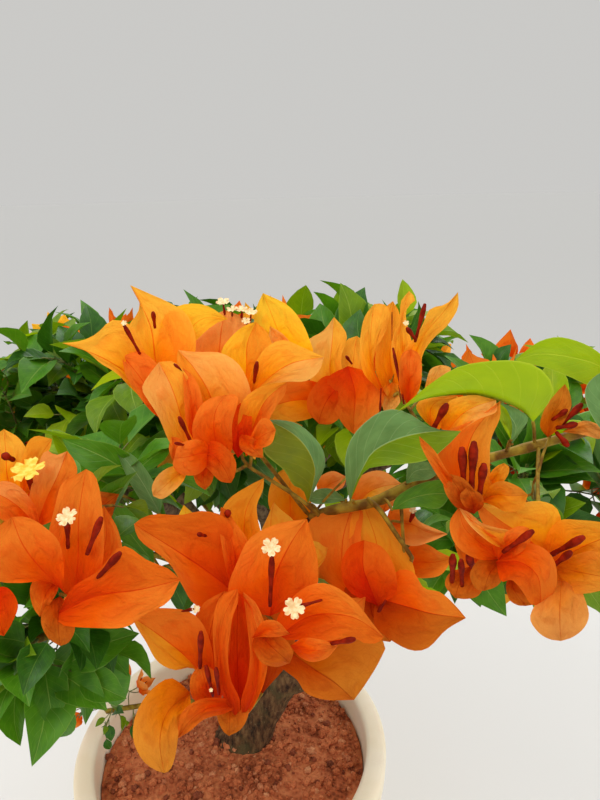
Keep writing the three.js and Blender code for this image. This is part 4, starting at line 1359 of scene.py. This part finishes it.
drawnStars = {"stray": 0.1, "yellowOver": 14, "fine": 8}  # wider ones, in pixels, are yellow
chance = np.random.default_rng(5)
nearStems = {}
for mass, flowers in nearFlowers.items():
    for tints, offA, offB, rib, *edges in flowers["bracts"]:
        layDrawn("bracts", tints, blanks["bractNear"], massDepth[mass], (offA, offB), rib, edges, chance)
    for x0, y0, out0, x1, y1, out1, thick in flowers["tubes"]:
        layTube(nearSpot(mass, x0, y0, out0), nearSpot(mass, x1, y1, out1), thick, sides=8)
    for x, y, out, across, lean in flowers["stars"]:
        size = across * massDepth[mass] / photo["focal"]
        facing = chance.normal(size=3) * drawnStars["stray"] + eyeUp * lean - ahead
        layStar("starsYellow" if across > drawnStars["yellowOver"] else "starsCream",
                nearSpot(mass, x, y, out), facing, size, chance, drawnStars["fine"])
    nearStems[mass] = [nearSpot(mass, *stem) for stem in flowers["stems"]]
print("near flowers laid")

# Leaves of the front boughs, drawn by the same rule: the limb each grows from, tints, edge offsets, midrib
# as x, y and mm from the eye, and the two edges
nearLeaves = [
    ("branch_front_right", ("Olive", "Grey"), 6, -2,
     [(308, 504, 332), (313, 484, 322), (315, 468, 316), (308, 450, 312), (296, 436, 312), (280, 426, 314),
      (265, 420, 318)],
     [(303, 490), (293, 485), (284, 470), (263, 451), (274, 438), (271, 428)],
     [(317, 484), (325, 466), (323, 450), (312, 435), (298, 424), (282, 420)]),
    ("branch_front_right", ("Grey", "Bright"), -2, 5,
     [(350, 502, 330), (355, 485, 321), (364, 466, 315), (373, 452, 310), (392, 441, 303), (416, 434, 293),
      (440, 431, 284), (461, 431, 278)],
     [(346, 482), (345, 460), (350, 441), (362, 425), (384, 410), (406, 412), (433, 428)],
     [(364, 472), (382, 466), (405, 464), (430, 459), (450, 443)]),
    ("branch_front_right", "Lime", 3, -4,
     [(533, 422, 322), (524, 412, 313), (508, 404, 302), (488, 398, 294), (460, 395, 290), (430, 398, 289),
      (412, 404, 291), (397, 412, 294)],
     [(548, 404), (554, 388), (541, 369), (520, 361), (490, 361), (458, 367), (430, 384), (412, 399)],
     [(524, 404), (500, 392), (470, 386), (440, 388), (418, 398)]),
    ("branch_front_right", "Lime", 2, 2,
     [(624, 386, 338), (600, 366, 332), (570, 357, 330), (540, 354, 328), (515, 360, 326)],
     [(618, 370), (602, 355), (585, 344), (560, 337), (540, 341), (527, 350)],
     [(612, 393), (592, 387), (570, 377), (550, 369), (534, 365)]),
    ("branch_front_right", "Grey", 1, 1, [(614, 438, 316), (612, 410, 310), (610, 390, 310), (612, 367, 314)],
     [(600, 428), (588, 408), (585, 390), (594, 377)], [(636, 425), (642, 395), (630, 374)]),
    ("branch_front_right", "Mid", 1, 1, [(392, 510, 330), (410, 499, 326), (430, 494, 324), (451, 494, 324)],
     [(396, 498), (412, 487), (430, 481), (446, 481)], [(402, 509), (420, 507), (440, 508)]),
    ("branch_front_right", "Grey", 1, 1, [(406, 484, 332), (414, 472, 327), (426, 469, 325), (441, 470, 325)],
     [(407, 468), (414, 461), (430, 463)], [(416, 481), (430, 479)]),
    ("branch_front_right", "Grey", 1, 1, [(512, 444, 322), (516, 428, 316), (510, 416, 314), (501, 403, 314)],
     [(509, 430), (501, 418)], [(522, 430), (528, 418), (516, 408)]),
    ("branch_front_right", "Lime", 1, 1, [(511, 440, 320), (505, 424, 313), (502, 414, 312), (500, 404, 312)],
     [(504, 428), (498, 414)], [(512, 424), (507, 410)]),
    ("branch_front_right", "Grey", 1, 1, [(346, 500, 344), (328, 498, 341), (308, 500, 342)],
     [(332, 489), (316, 490)], [(332, 503), (316, 504)]),
    ("bough_front_left", "Mid", 3, 2, [(152, 488, 402), (125, 470, 392), (100, 455, 389), (62, 439, 392)],
     [(140, 464), (118, 447), (90, 440)], [(138, 486), (110, 484), (84, 471), (72, 458)]),
    ("bough_front_left", "Grey", 3, 2, [(160, 514, 400), (147, 490, 391), (134, 470, 388), (115, 447, 392)],
     [(146, 507), (133, 488), (123, 468)], [(162, 498), (149, 474), (134, 456)]),
    ("bough_front_left", "Mid", 3, 2, [(154, 563, 398), (135, 540, 389), (120, 520, 386), (100, 501, 390)],
     [(140, 557), (121, 540), (107, 520)], [(152, 540), (139, 520), (120, 503)]),
    ("bough_front_left", "Dark", 2, 2, [(188, 614, 400), (178, 595, 394), (164, 565, 394)],
     [(176, 608), (165, 586)], [(192, 598), (179, 575)]),
]
leafStalk = {"lift": 2, "thick": 0.9}
for limbName, tints, offA, offB, rib, *edges in nearLeaves:
    first = rib[0][2]
    drawn = [(x, y, first - far) for x, y, far in rib]
    layDrawn("leaves", tints, blanks["leafNear"], first * mm, (offA, offB), drawn, edges, chance,
             ripple=0.4, dents=0.3)
    base = seenAt(rib[0][0], rib[0][1], first * mm)
    line = limbLines[limbName]
    joint = line[np.argmin(np.linalg.norm(line - base, axis=1))]
    layStalk("branches", joint, base, np.array([0, 0, leafStalk["lift"] * mm]), leafStalk["thick"],
             sides=6, count=7)

# Twigs of the front branch that show by themselves: thickness, then the way as x, y and mm from the eye
nearTwigs = [
    (1.0, [(318, 515, 340), (300, 499, 328), (272, 481, 321), (247, 465, 315), (241, 452, 308)]),
    (0.8, [(247, 465, 315), (238, 470, 308), (226, 473, 300), (208, 464, 294)]),
    (0.8, [(250, 467, 315), (251, 456, 306), (246, 450, 300)]),
    (1.25, [(368, 499, 343), (380, 510, 335), (396, 534, 331), (413, 560, 333), (404, 562, 352)]),
    (0.6, [(318, 508, 346), (330, 494, 336), (350, 474, 334), (372, 452, 344)]),
]
nearTwigShape = {"steps": 14, "sides": 8, "taper": (1.15, 0.3)}
for thick, way in nearTwigs:
    x, y, far = smoothLine(way, nearTwigShape["steps"]).T
    atFoot, less = nearTwigShape["taper"]
    radii = [thick * mm * (atFoot - less * s) for s in shares(nearTwigShape["steps"])]
    points, faces = tubeArrays(seenAt(x, y, far * mm), radii, nearTwigShape["sides"])
    heapUp("branches", points, faces)

# How each kind of mass is filled: goals for the twigs, flowers at some of them, leaves along the rest
fillings = {  # leaf goals, flower goals, reach, leaves at a tip, their lengths
    "leaves_inner": (36, 2, (0.25, 0.86), 8, (36, 62)),
    "leaves_low": (26, 1, (0.3, 0.86), 8, (34, 58)),
    "bracts_outer": (16, 15, (0.3, 0.74), 7, (34, 58)),
    "bracts_top": (12, 11, (0.3, 0.74), 7, (34, 56)),
    "bracts_front_tip": (2, 5, (0.2, 0.6), 4, (30, 50)),
    "bracts_front": (4, 0, (0.95, 1.15), 3, (24, 36)),
    "leaves_front_right": (0, 0, (0.2, 0.4), 3, (34, 50)),
    "leaves_front_left": (10, 0, (0.2, 0.8), 6, (34, 58)),
    "leaves_lower_left": (18, 0, (0.2, 0.85), 7, (36, 60)),
    "leaves_over_rim": (9, 2, (0.2, 0.8), 6, (14, 26)),
}
leafTints = {"Dark": 0.26, "Mid": 0.42, "Bright": 0.22, "Lime": 0.07, "Grey": 0.03}
flowerTints = {"Amber": 0.2, "Gold": 0.06, "Honey": 0.14, "Orange": 0.4, "Deep": 0.2}


def dealt(chance, weights):
    names = list(weights)
    return names[int(chance.choice(len(names), p=np.array(list(weights.values())) / sum(weights.values())))]


def fillingOf(mass):
    return fillings[max((kind for kind in fillings if mass.startswith(kind)), key=len)]


def insideMass(mass, way, reach):
    middle, half, turn = masses[mass]
    x, y, z = np.array(way) * np.array(half) * reach
    return (np.array([x * math.cos(turn) - y * math.sin(turn), x * math.sin(turn) + y * math.cos(turn), z])
            + middle) * mm


spreadShape = {"turn": 2.39996, "shake": 0.8, "stray": 0.16}  # the golden turn, in radians


def spreadWays(count, chance):
    # directions spread evenly over a ball, then shaken
    ways = []
    for i in range(count):
        z = 1 - 2 * (i + 0.5) / count
        turn = i * spreadShape["turn"] + chance.random() * spreadShape["shake"]
        flat = math.sqrt(1 - z * z)
        ways.append(unit(np.array([flat * math.cos(turn), flat * math.sin(turn), z])
                         + chance.normal(size=3) * spreadShape["stray"]))
    return ways


# In these tables a pair is the least and how much more by chance; one number strays about nought
flowerHabit = {
    "bract": 47,
    "bractFoot": 1,
    "spread": (0.85, 0.3),
    "size": (0.88, 0.24),
    "stray": 0.12,
    "bends": {"width": (0.66, 0.14), "arch": (0.1, 0.06), "cup": (0.1, 0.14), "fold": (0.04, 0.1),
              "curl": (0, -0.16), "sway": 0.03, "twist": 0.25, "ripple": (0.02, 0.02), "waves": (2, 1),
              "phase": (0, 1)},
    "tubeFoot": (3, 2),
    "tubeAlong": 0.9,
    "tubeOut": (0.15, 0.35),
    "open": 0.34,  # share of the tubes with a star
}
cymeHabit = {
    "along": 8,
    "out": (12, 6),
    "lift": 2,
    "stalk": 0.7,
    "turnedOut": (0.55, 0.3),
    "size": (0.9, 0.2),
    "opened": (24, 26),  # degrees
}
leafHabit = {
    "turn": 2.4,  # from one leaf to the next, in radians
    "end": {"along": 0.9, "out": 0.3, "size": 0.7},  # the leaf at the twig's end
    "side": {"along": 0.35, "out": 0.8, "size": 1},
    "outward": 0.35,
    "droop": 0.22,
    "stray": 0.12,
    "stalkAlong": 0.4,
    "stalk": (6, 5),
    "stalkThick": 0.6,
    "faceUp": 0.85,
    "faceOut": 0.55,
    "faceStray": 0.22,
    "bends": {"width": (0.56, 0.12), "arch": (-0.05, -0.07), "cup": (0.04, 0.08), "fold": (0.06, 0.14),
              "curl": (0, -0.12), "sway": 0.03, "twist": 0.2, "waves": (1.5, 1), "phase": (0, 1)},
    "ripple": 0.015,
}


def bendsBy(chance, habits):
    return {name: between(chance, *habit) if isinstance(habit, tuple) else chance.normal() * habit
            for name, habit in habits.items()}


def layFlower(base, way, tint, chance, length, opened):
    # three bracts round the flower's axis, each with its midrib bowed outwards
    side = unit(np.cross(way, chance.normal(size=3)))
    other = np.cross(way, side)
    first = chance.random() * math.tau
    for k in range(3):
        turn = first + k * math.tau / 3 + chance.normal() * flowerHabit["stray"]
        out = math.cos(turn) * side + math.sin(turn) * other
        spread = opened * between(chance, *flowerHabit["spread"])
        run = way * math.cos(spread) + out * math.sin(spread)
        facing = way * math.sin(spread) - out * math.cos(spread)
        size = length * between(chance, *flowerHabit["size"])
        layBlade("bracts" + tint, "bract", base + out * flowerHabit["bractFoot"] * mm, base + run * size,
                 facing, bendsBy(chance, flowerHabit["bends"]))
        up, aside = flowerHabit["tubeFoot"]
        start = base + (way * up + out * aside) * mm
        small = length / (flowerHabit["bract"] * mm)
        lean = unit(way * flowerHabit["tubeAlong"] + out * between(chance, *flowerHabit["tubeOut"]))
        end = start + lean * tubeShape["length"] * small * mm
        layTube(start, end, small, sides=4)
        if chance.random() < flowerHabit["open"]:
            layStar("starsCream", end, unit(end - start), starShape["size"] * small * mm, chance)


def layCyme(base, way, tint, chance, length):
    # three flowers on short stalks at a twig's end
    side = unit(np.cross(way, chance.normal(size=3)))
    other = np.cross(way, side)
    for k in range(3):
        turn = k * math.tau / 3 + chance.random()
        out = math.cos(turn) * side + math.sin(turn) * other
        place = base + (way * cymeHabit["along"] + out * between(chance, *cymeHabit["out"])) * mm
        layStalk("twigs", base, place, out * cymeHabit["lift"] * mm, cymeHabit["stalk"], sides=4, count=4)
        turnedOut = unit(way + out * between(chance, *cymeHabit["turnedOut"]))
        size = length * between(chance, *cymeHabit["size"])
        layFlower(place, turnedOut, tint, chance, size, math.radians(between(chance, *cymeHabit["opened"])))


def leafUp(spots, parents, tip, middle, perTip, sizes, tint, chance):
    # leaves stand alternately along the last stretch of a twig, blades to the light
    at, turn = tip, chance.random() * math.tau
    for k in range(perTip):
        if parents[at] < 0:
            break
        way = unit(spots[at] - spots[parents[at]])
        outward = unit(spots[at] - middle)
        side = unit(np.cross(way, (0.2, 0.1, 0.97)))
        other = np.cross(way, side)
        turn += leafHabit["turn"]
        out = math.cos(turn) * side + math.sin(turn) * other
        stands = leafHabit["side" if k else "end"]
        run = unit(stands["along"] * way + stands["out"] * out + leafHabit["outward"] * outward
                   - np.array([0, 0, leafHabit["droop"]]) + chance.normal(size=3) * leafHabit["stray"])
        stalk = unit(run + way * leafHabit["stalkAlong"]) * between(chance, *leafHabit["stalk"]) * mm
        base = spots[at] + stalk
        layStalk("twigs", spots[at], base, np.zeros(3), leafHabit["stalkThick"], sides=3, count=2)
        length = between(chance, sizes[0], sizes[1] - sizes[0]) * mm * stands["size"]
        facing = (np.array([0, 0, leafHabit["faceUp"]]) + outward * leafHabit["faceOut"]
                  + chance.normal(size=3) * leafHabit["faceStray"])
        layBlade("leaves" + tint, "leaf", base, base + run * length, facing,
                 {"ripple": leafHabit["ripple"], **bendsBy(chance, leafHabit["bends"])})
        at = parents[at]


# where the photograph shows no flowers of this bush beyond its front: x0, y0, x1, y1
bareViews = [(416, 260, 660, 680), (150, 250, 306, 336), (-30, 270, 48, 380)]


def showsBare(point, middle):
    far = depthOf(point)
    if far > depthOf(middle) + 20 * mm:
        return False
    x, y = (photo["size"][k] / 2 + photo["focal"] * np.dot(point - eye, way) / far
            for k, way in enumerate((eyeRight, -eyeUp)))
    return any(x0 < x < x1 and y0 < y < y1 for x0, y0, x1, y1 in bareViews)


massHabit = {
    "seed": 100,
    "twigSeed": 300,
    "within": 1.05,  # twigs start where the limb comes this near, as a share of the mass's half sizes
    "nearSpread": 0.4,  # behind the drawn flowers the goals lie mostly away from the eye
    "outermost": 0.6,  # the lower, the more of the goals lie far out
    "twigShare": 0.4,
    "up": 0.15,
    "backOpened": 0.5,
    "smallOver": {"mass": "leaves_over_rim", "bract": 22, "tint": "Pale"},
}


def goalsIn(mass, counts, reach, middle, chance):
    # places that the twigs have to reach, and what grows there; a number is a back flower's length
    goals = [(spot, "stem") for spot in nearStems.get(mass, [])]
    goals += [(nearSpot(mass, *spot), "flower") for spot in pastEdge.get(mass, [])]
    goals += [(nearSpot(mass, x, y, -back), length) for x, y, back, length in backFlowers.get(mass, [])]
    near = mass in nearFlowers
    low, high = reach
    for kind, count in counts.items():
        for way in spreadWays(count, chance):
            if near:
                way = unit(way * massHabit["nearSpread"] + ahead)
            share = high
            if kind == "leaf":
                share = low + (high - low) * chance.random() ** massHabit["outermost"]
            goal = insideMass(mass, way, share)
            goals.append((goal, "leaf" if not near and showsBare(goal, middle) else kind))
    return goals


goalsReached = 0
small = massHabit["smallOver"]
for order, mass in enumerate(masses):
    leafGoals, flowerGoals, reach, perTip, lengths = fillingOf(mass)
    chance = np.random.default_rng(massHabit["seed"] + order)
    middle, half = (np.array(sizes) * mm for sizes in masses[mass][:2])
    line = limbLines[limbInto[mass]]
    starts = [p for p in line if np.linalg.norm((p - middle) / half) < massHabit["within"]]
    goals = goalsIn(mass, {"flower": flowerGoals, "leaf": leafGoals}, reach, middle, chance)
    spots, parents, tips = growTwigs(starts or [line[-1]], [goal for goal, _ in goals],
                                     massHabit["twigSeed"] + order)
    radii = twigRadii(spots, parents, limbRadius(limbInto[mass], 1.0))
    heap, sides = ("branches", "nearSides") if mass in nearFlowers else ("twigs", "sides")
    layTwigs(heap, spots, parents, radii, twigShape[sides])
    layThorns(heap, spots, parents, chance)
    for g, (goal, kind) in enumerate(goals):
        tip = tips[g]
        way = unit(unit(goal - middle) + massHabit["twigShare"] * unit(spots[tip] - spots[parents[tip]])
                   + np.array([0, 0, massHabit["up"]]))
        if kind == "flower":
            tint = small["tint"] if mass == small["mass"] else dealt(chance, flowerTints)
            layCyme(goal, way, tint, chance, (small if mass == small["mass"] else flowerHabit)["bract"] * mm)
        elif isinstance(kind, int):
            layFlower(goal, unit(ahead + massHabit["twigShare"] * way), dealt(chance, flowerTints), chance,
                      kind * mm, massHabit["backOpened"])
        elif kind == "leaf":
            leafUp(spots, parents, tip, middle, perTip, lengths, dealt(chance, leafTints), chance)
    goalsReached += len(goals)
print("twigs grown to", goalsReached, "goals")


# What leaf and bract share: the blade's own map, how far a spot is from the midrib, and the midrib
# with the side veins that sweep forward from it
def bladeMarks(tree, ribEdges, sweep, veinGap, veinWidth, veinMost):
    place = addNode(tree, "ShaderNodeUVMap", uv_map="bladeMap")
    split = addNode(tree, "ShaderNodeSeparateXYZ", {0: place})
    across = addNode(tree, "ShaderNodeMath", {0: split.outputs[1], 1: 0.5}, operation="SUBTRACT")
    across = addNode(tree, "ShaderNodeMath", {0: across}, operation="ABSOLUTE")
    rib = addNode(tree, "ShaderNodeMapRange", {
        0: across, 1: ribEdges[0], 2: ribEdges[1], 3: 0.0, 4: 0.8})
    swept = addNode(tree, "ShaderNodeMath", {0: across, 1: -sweep, 2: split.outputs[0]},
                    operation="MULTIPLY_ADD")
    veins = addNode(tree, "ShaderNodeMath", {0: swept, 1: veinGap}, operation="PINGPONG")
    veins = addNode(tree, "ShaderNodeMapRange", {0: veins, 1: veinWidth, 2: 0.0, 3: 0.0, 4: veinMost})
    lines = addNode(tree, "ShaderNodeMath", {0: rib, 1: veins}, operation="MAXIMUM")
    return place, split.outputs[0], across, lines


def finishBlade(tree, tone, bump, roughness, specular, through, glow):
    # a skin that also lets some light through
    skin = addNode(tree, "ShaderNodeBsdfPrincipled", {
        "Base Color": tone, "Roughness": roughness, "Normal": bump, "Specular IOR Level": specular})
    light = addNode(tree, "ShaderNodeBsdfTranslucent", {"Color": through})
    finishMaterial(tree, addNode(tree, "ShaderNodeMixShader", {0: glow, 1: skin, 2: light}))


# Leaf: a waxy green blade, lit through where it is young, with a paler midrib, side veins and margin
def leafBlade(name, body, vein, through, glow, gloss):
    material, tree = newMaterial(name)
    place, _, across, lines = bladeMarks(tree, (0.02, 0.006), 0.62, 0.062, 0.007, 0.32)
    margin = addNode(tree, "ShaderNodeMapRange", {0: across, 1: 0.475, 2: 0.497, 3: 0.0, 4: 0.7})
    lines = addNode(tree, "ShaderNodeMath", {0: lines, 1: margin}, operation="MAXIMUM")
    mottle = addNode(tree, "ShaderNodeTexNoise", {"Vector": place, "Scale": 5.0, "Detail": 4.0})
    tone = addNode(tree, "ShaderNodeValToRGB", {0: mottle}, stops=[(0.35, body[0]), (0.65, body[1])])
    tone = addNode(tree, "ShaderNodeMix", {0: lines, 6: tone, 7: linear(vein)}, data_type="RGBA").outputs[2]
    puckers = addNode(tree, "ShaderNodeMath", {0: lines, 1: -1.0, 2: mottle}, operation="MULTIPLY_ADD")
    bump = addNode(tree, "ShaderNodeBump", {"Height": puckers, "Strength": 0.35, "Distance": 0.0012})
    finishBlade(tree, tone, bump, gloss, 0.3, linear(through), glow)
    return material


# Bract: a papery coloured leaf with hardly any gloss, glowing where the light comes through, redder at its
# foot, paler at its tip and margin, with a dark fine midrib and a net of faint veins, and with painted shade
# that darkens the low parts of its creases towards the foot's red
def bractPaper(name, foot, body, tip):
    material, tree = newMaterial(name)
    place, length, across, lines = bladeMarks(tree, (0.013, 0.004), 0.9, 0.05, 0.005, 0.16)
    drift = addNode(tree, "ShaderNodeTexNoise", {"Vector": place, "Scale": 3.0, "Detail": 3.0})
    shift = addNode(tree, "ShaderNodeMath", {0: drift, 1: 0.34, 2: length}, operation="MULTIPLY_ADD")
    shift = addNode(tree, "ShaderNodeMath", {0: across, 1: 0.5, 2: shift}, operation="MULTIPLY_ADD")
    tone = addNode(tree, "ShaderNodeValToRGB", {0: shift}, stops=[(0.2, foot), (0.62, body), (1.0, tip)])
    cells = addNode(tree, "ShaderNodeTexVoronoi", {"Vector": place, "Scale": 17.0},
                    feature="DISTANCE_TO_EDGE")
    net = addNode(tree, "ShaderNodeMapRange", {0: cells, 1: 0.06, 2: 0.0, 3: 0.0, 4: 0.13})
    lines = addNode(tree, "ShaderNodeMath", {0: lines, 1: net}, operation="MAXIMUM")
    creases = addNode(tree, "ShaderNodeTexNoise", {
        "Vector": place, "Scale": 4.6, "Detail": 3.0, "Distortion": 0.9})
    # painted shade: the low parts of the creases, which the folds bump sinks, are mixed towards the foot
    # colour
    creaseShade = addNode(tree, "ShaderNodeMapRange", {0: creases, 1: 0.5, 2: 0.34, 3: 0.0, 4: 0.2})
    lines = addNode(tree, "ShaderNodeMath", {0: lines, 1: creaseShade}, operation="ADD")
    tone = addNode(tree, "ShaderNodeMix", {0: lines, 6: tone, 7: linear(foot)}, data_type="RGBA").outputs[2]
    crinkle = addNode(tree, "ShaderNodeTexNoise", {"Vector": place, "Scale": 16.0, "Detail": 4.0})
    puckers = addNode(tree, "ShaderNodeMath", {0: lines, 1: -1.6, 2: crinkle}, operation="MULTIPLY_ADD")
    folds = addNode(tree, "ShaderNodeBump", {"Height": creases, "Strength": 0.6, "Distance": 0.004})
    bump = addNode(tree, "ShaderNodeBump", {
        "Height": puckers, "Strength": 0.35, "Distance": 0.0012, "Normal": folds})
    finishBlade(tree, tone, bump, 0.7, 0.06, tone, 0.5)
    return material


# A plain living surface, such as a green twig, a flower's tube or a petal
def livingSkin(name, dark, light, grain, roughness, specular=0.4):
    material, tree = newMaterial(name)
    place = addNode(tree, "ShaderNodeTexCoord").outputs["Object"]
    patches = addNode(tree, "ShaderNodeTexNoise",
                      {"Vector": place, "Scale": 1 / (grain * mm), "Detail": 5.0})
    tone = addNode(tree, "ShaderNodeValToRGB", {0: patches}, stops=[(0.38, dark), (0.62, light)])
    bump = addNode(tree, "ShaderNodeBump", {"Height": patches, "Strength": 0.3, "Distance": 0.0008})
    shader = addNode(tree, "ShaderNodeBsdfPrincipled", {
        "Base Color": tone, "Roughness": roughness, "Normal": bump, "Specular IOR Level": specular})
    finishMaterial(tree, shader)
    return material


leafFinishes = {  # body tones, vein, light through, how much of it, roughness
    "Dark": (("#24500C", "#356812"), "#628A30", "#46800C", 0.18, 0.45),
    "Mid": (("#3E7410", "#528A16"), "#86A640", "#66A010", 0.24, 0.45),
    "Bright": (("#5C8006", "#709206"), "#A4BC44", "#86AC08", 0.3, 0.48),
    "Lime": (("#86A602", "#98B404"), "#C4D43C", "#A8C804", 0.42, 0.5),
    "Olive": (("#627200", "#768400"), "#A8AC3C", "#84980A", 0.34, 0.5),
    "Grey": (("#567E40", "#6A9450"), "#9CBC7C", "#74A050", 0.24, 0.55),
}
finishes = {
    "boughs": livingSkin("youngBark", "#463320", "#786244", 5, 0.85, 0.3),
    "branches": livingSkin("greenwood", "#68460A", "#9C8424", 7, 0.65, 0.2),
    "twigs": livingSkin("greenTwig", "#5A5A24", "#7C8038", 6, 0.6),
    "flowerTubes": livingSkin("flowerTube", "#6A1000", "#921E02", 4, 0.6, 0.08),
    "starsCream": livingSkin("petalCream", "#DFB47A", "#F0D9A6", 1.5, 0.7),
    "starsYellow": livingSkin("petalYellow", "#E0AE20", "#F0D058", 2, 0.7),
}
for name, tones in bractLitAndShadedTints.items():
    finishes["bracts" + name] = bractPaper("bractPaper" + name, *tones)
for name, leafFinish in leafFinishes.items():
    finishes["leaves" + name] = leafBlade("waxyLeaf" + name, *leafFinish)

for name in list(heaps):
    piece = joinedPiece(name, finishes[name])
    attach(piece, "root")
    print(name, len(piece.data.loops) - 2 * len(piece.data.polygons), "triangles")
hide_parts(*barked)
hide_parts(*[name for name in limbLines if name not in barked])
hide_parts(*[name for name in masses if name.startswith("bracts")])
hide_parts(*[name for name in masses if name.startswith("leaves")])
print("plant joined")

# Floor and light
bpy.ops.mesh.primitive_circle_add(vertices=96, radius=60, fill_type="NGON", location=(0, 0, 0))
floor = bpy.context.active_object
floor.name = "floor"
floorMaterial, floorTree = newMaterial("paleFloor")
finishMaterial(floorTree, addNode(floorTree, "ShaderNodeBsdfPrincipled", {
    "Base Color": linear("#D8D6D1"), "Roughness": 0.9}))
floor.data.materials.append(floorMaterial)

world = bpy.data.worlds.new("studio")
bpy.context.scene.world = world
world.use_nodes = True
sky = world.node_tree
sky.nodes.clear()
soft = addNode(sky, "ShaderNodeBackground", {"Color": linear("#F4F5F6"), "Strength": 0.92})
paper = addNode(sky, "ShaderNodeBackground", {"Color": linear("#E2E1DE"), "Strength": 0.78})
direct = addNode(sky, "ShaderNodeLightPath").outputs["Is Camera Ray"]
backdrop = addNode(sky, "ShaderNodeMixShader", {0: direct, 1: soft, 2: paper})
addNode(sky, "ShaderNodeOutputWorld", {"Surface": backdrop})
lights = {  # place and aim in metres, side of the square, watts
    "keyAbove": ((-0.9, -1.1, 2.6), (0.05, -0.2, 0.8), 1.4, 26),
    "backAbove": ((0.7, 1.5, 2.4), (0.05, -0.3, 0.85), 1.3, 30),
    "fillFront": ((1.6, -1.9, 1.3), (0.1, -0.3, 0.8), 1.6, 9),
}
for name, (place, aim, size, power) in lights.items():
    lamp = bpy.data.lights.new(name, "AREA")
    lamp.size = size
    lamp.energy = power
    lampObject = bpy.data.objects.new(name, lamp)
    bpy.context.scene.collection.objects.link(lampObject)
    lampObject.location = place
    lampObject.rotation_euler = (Vector(aim) - Vector(place)).to_track_quat("-Z", "Y").to_euler()
bpy.context.scene.view_settings.view_transform = "Standard"
print("stage lit")
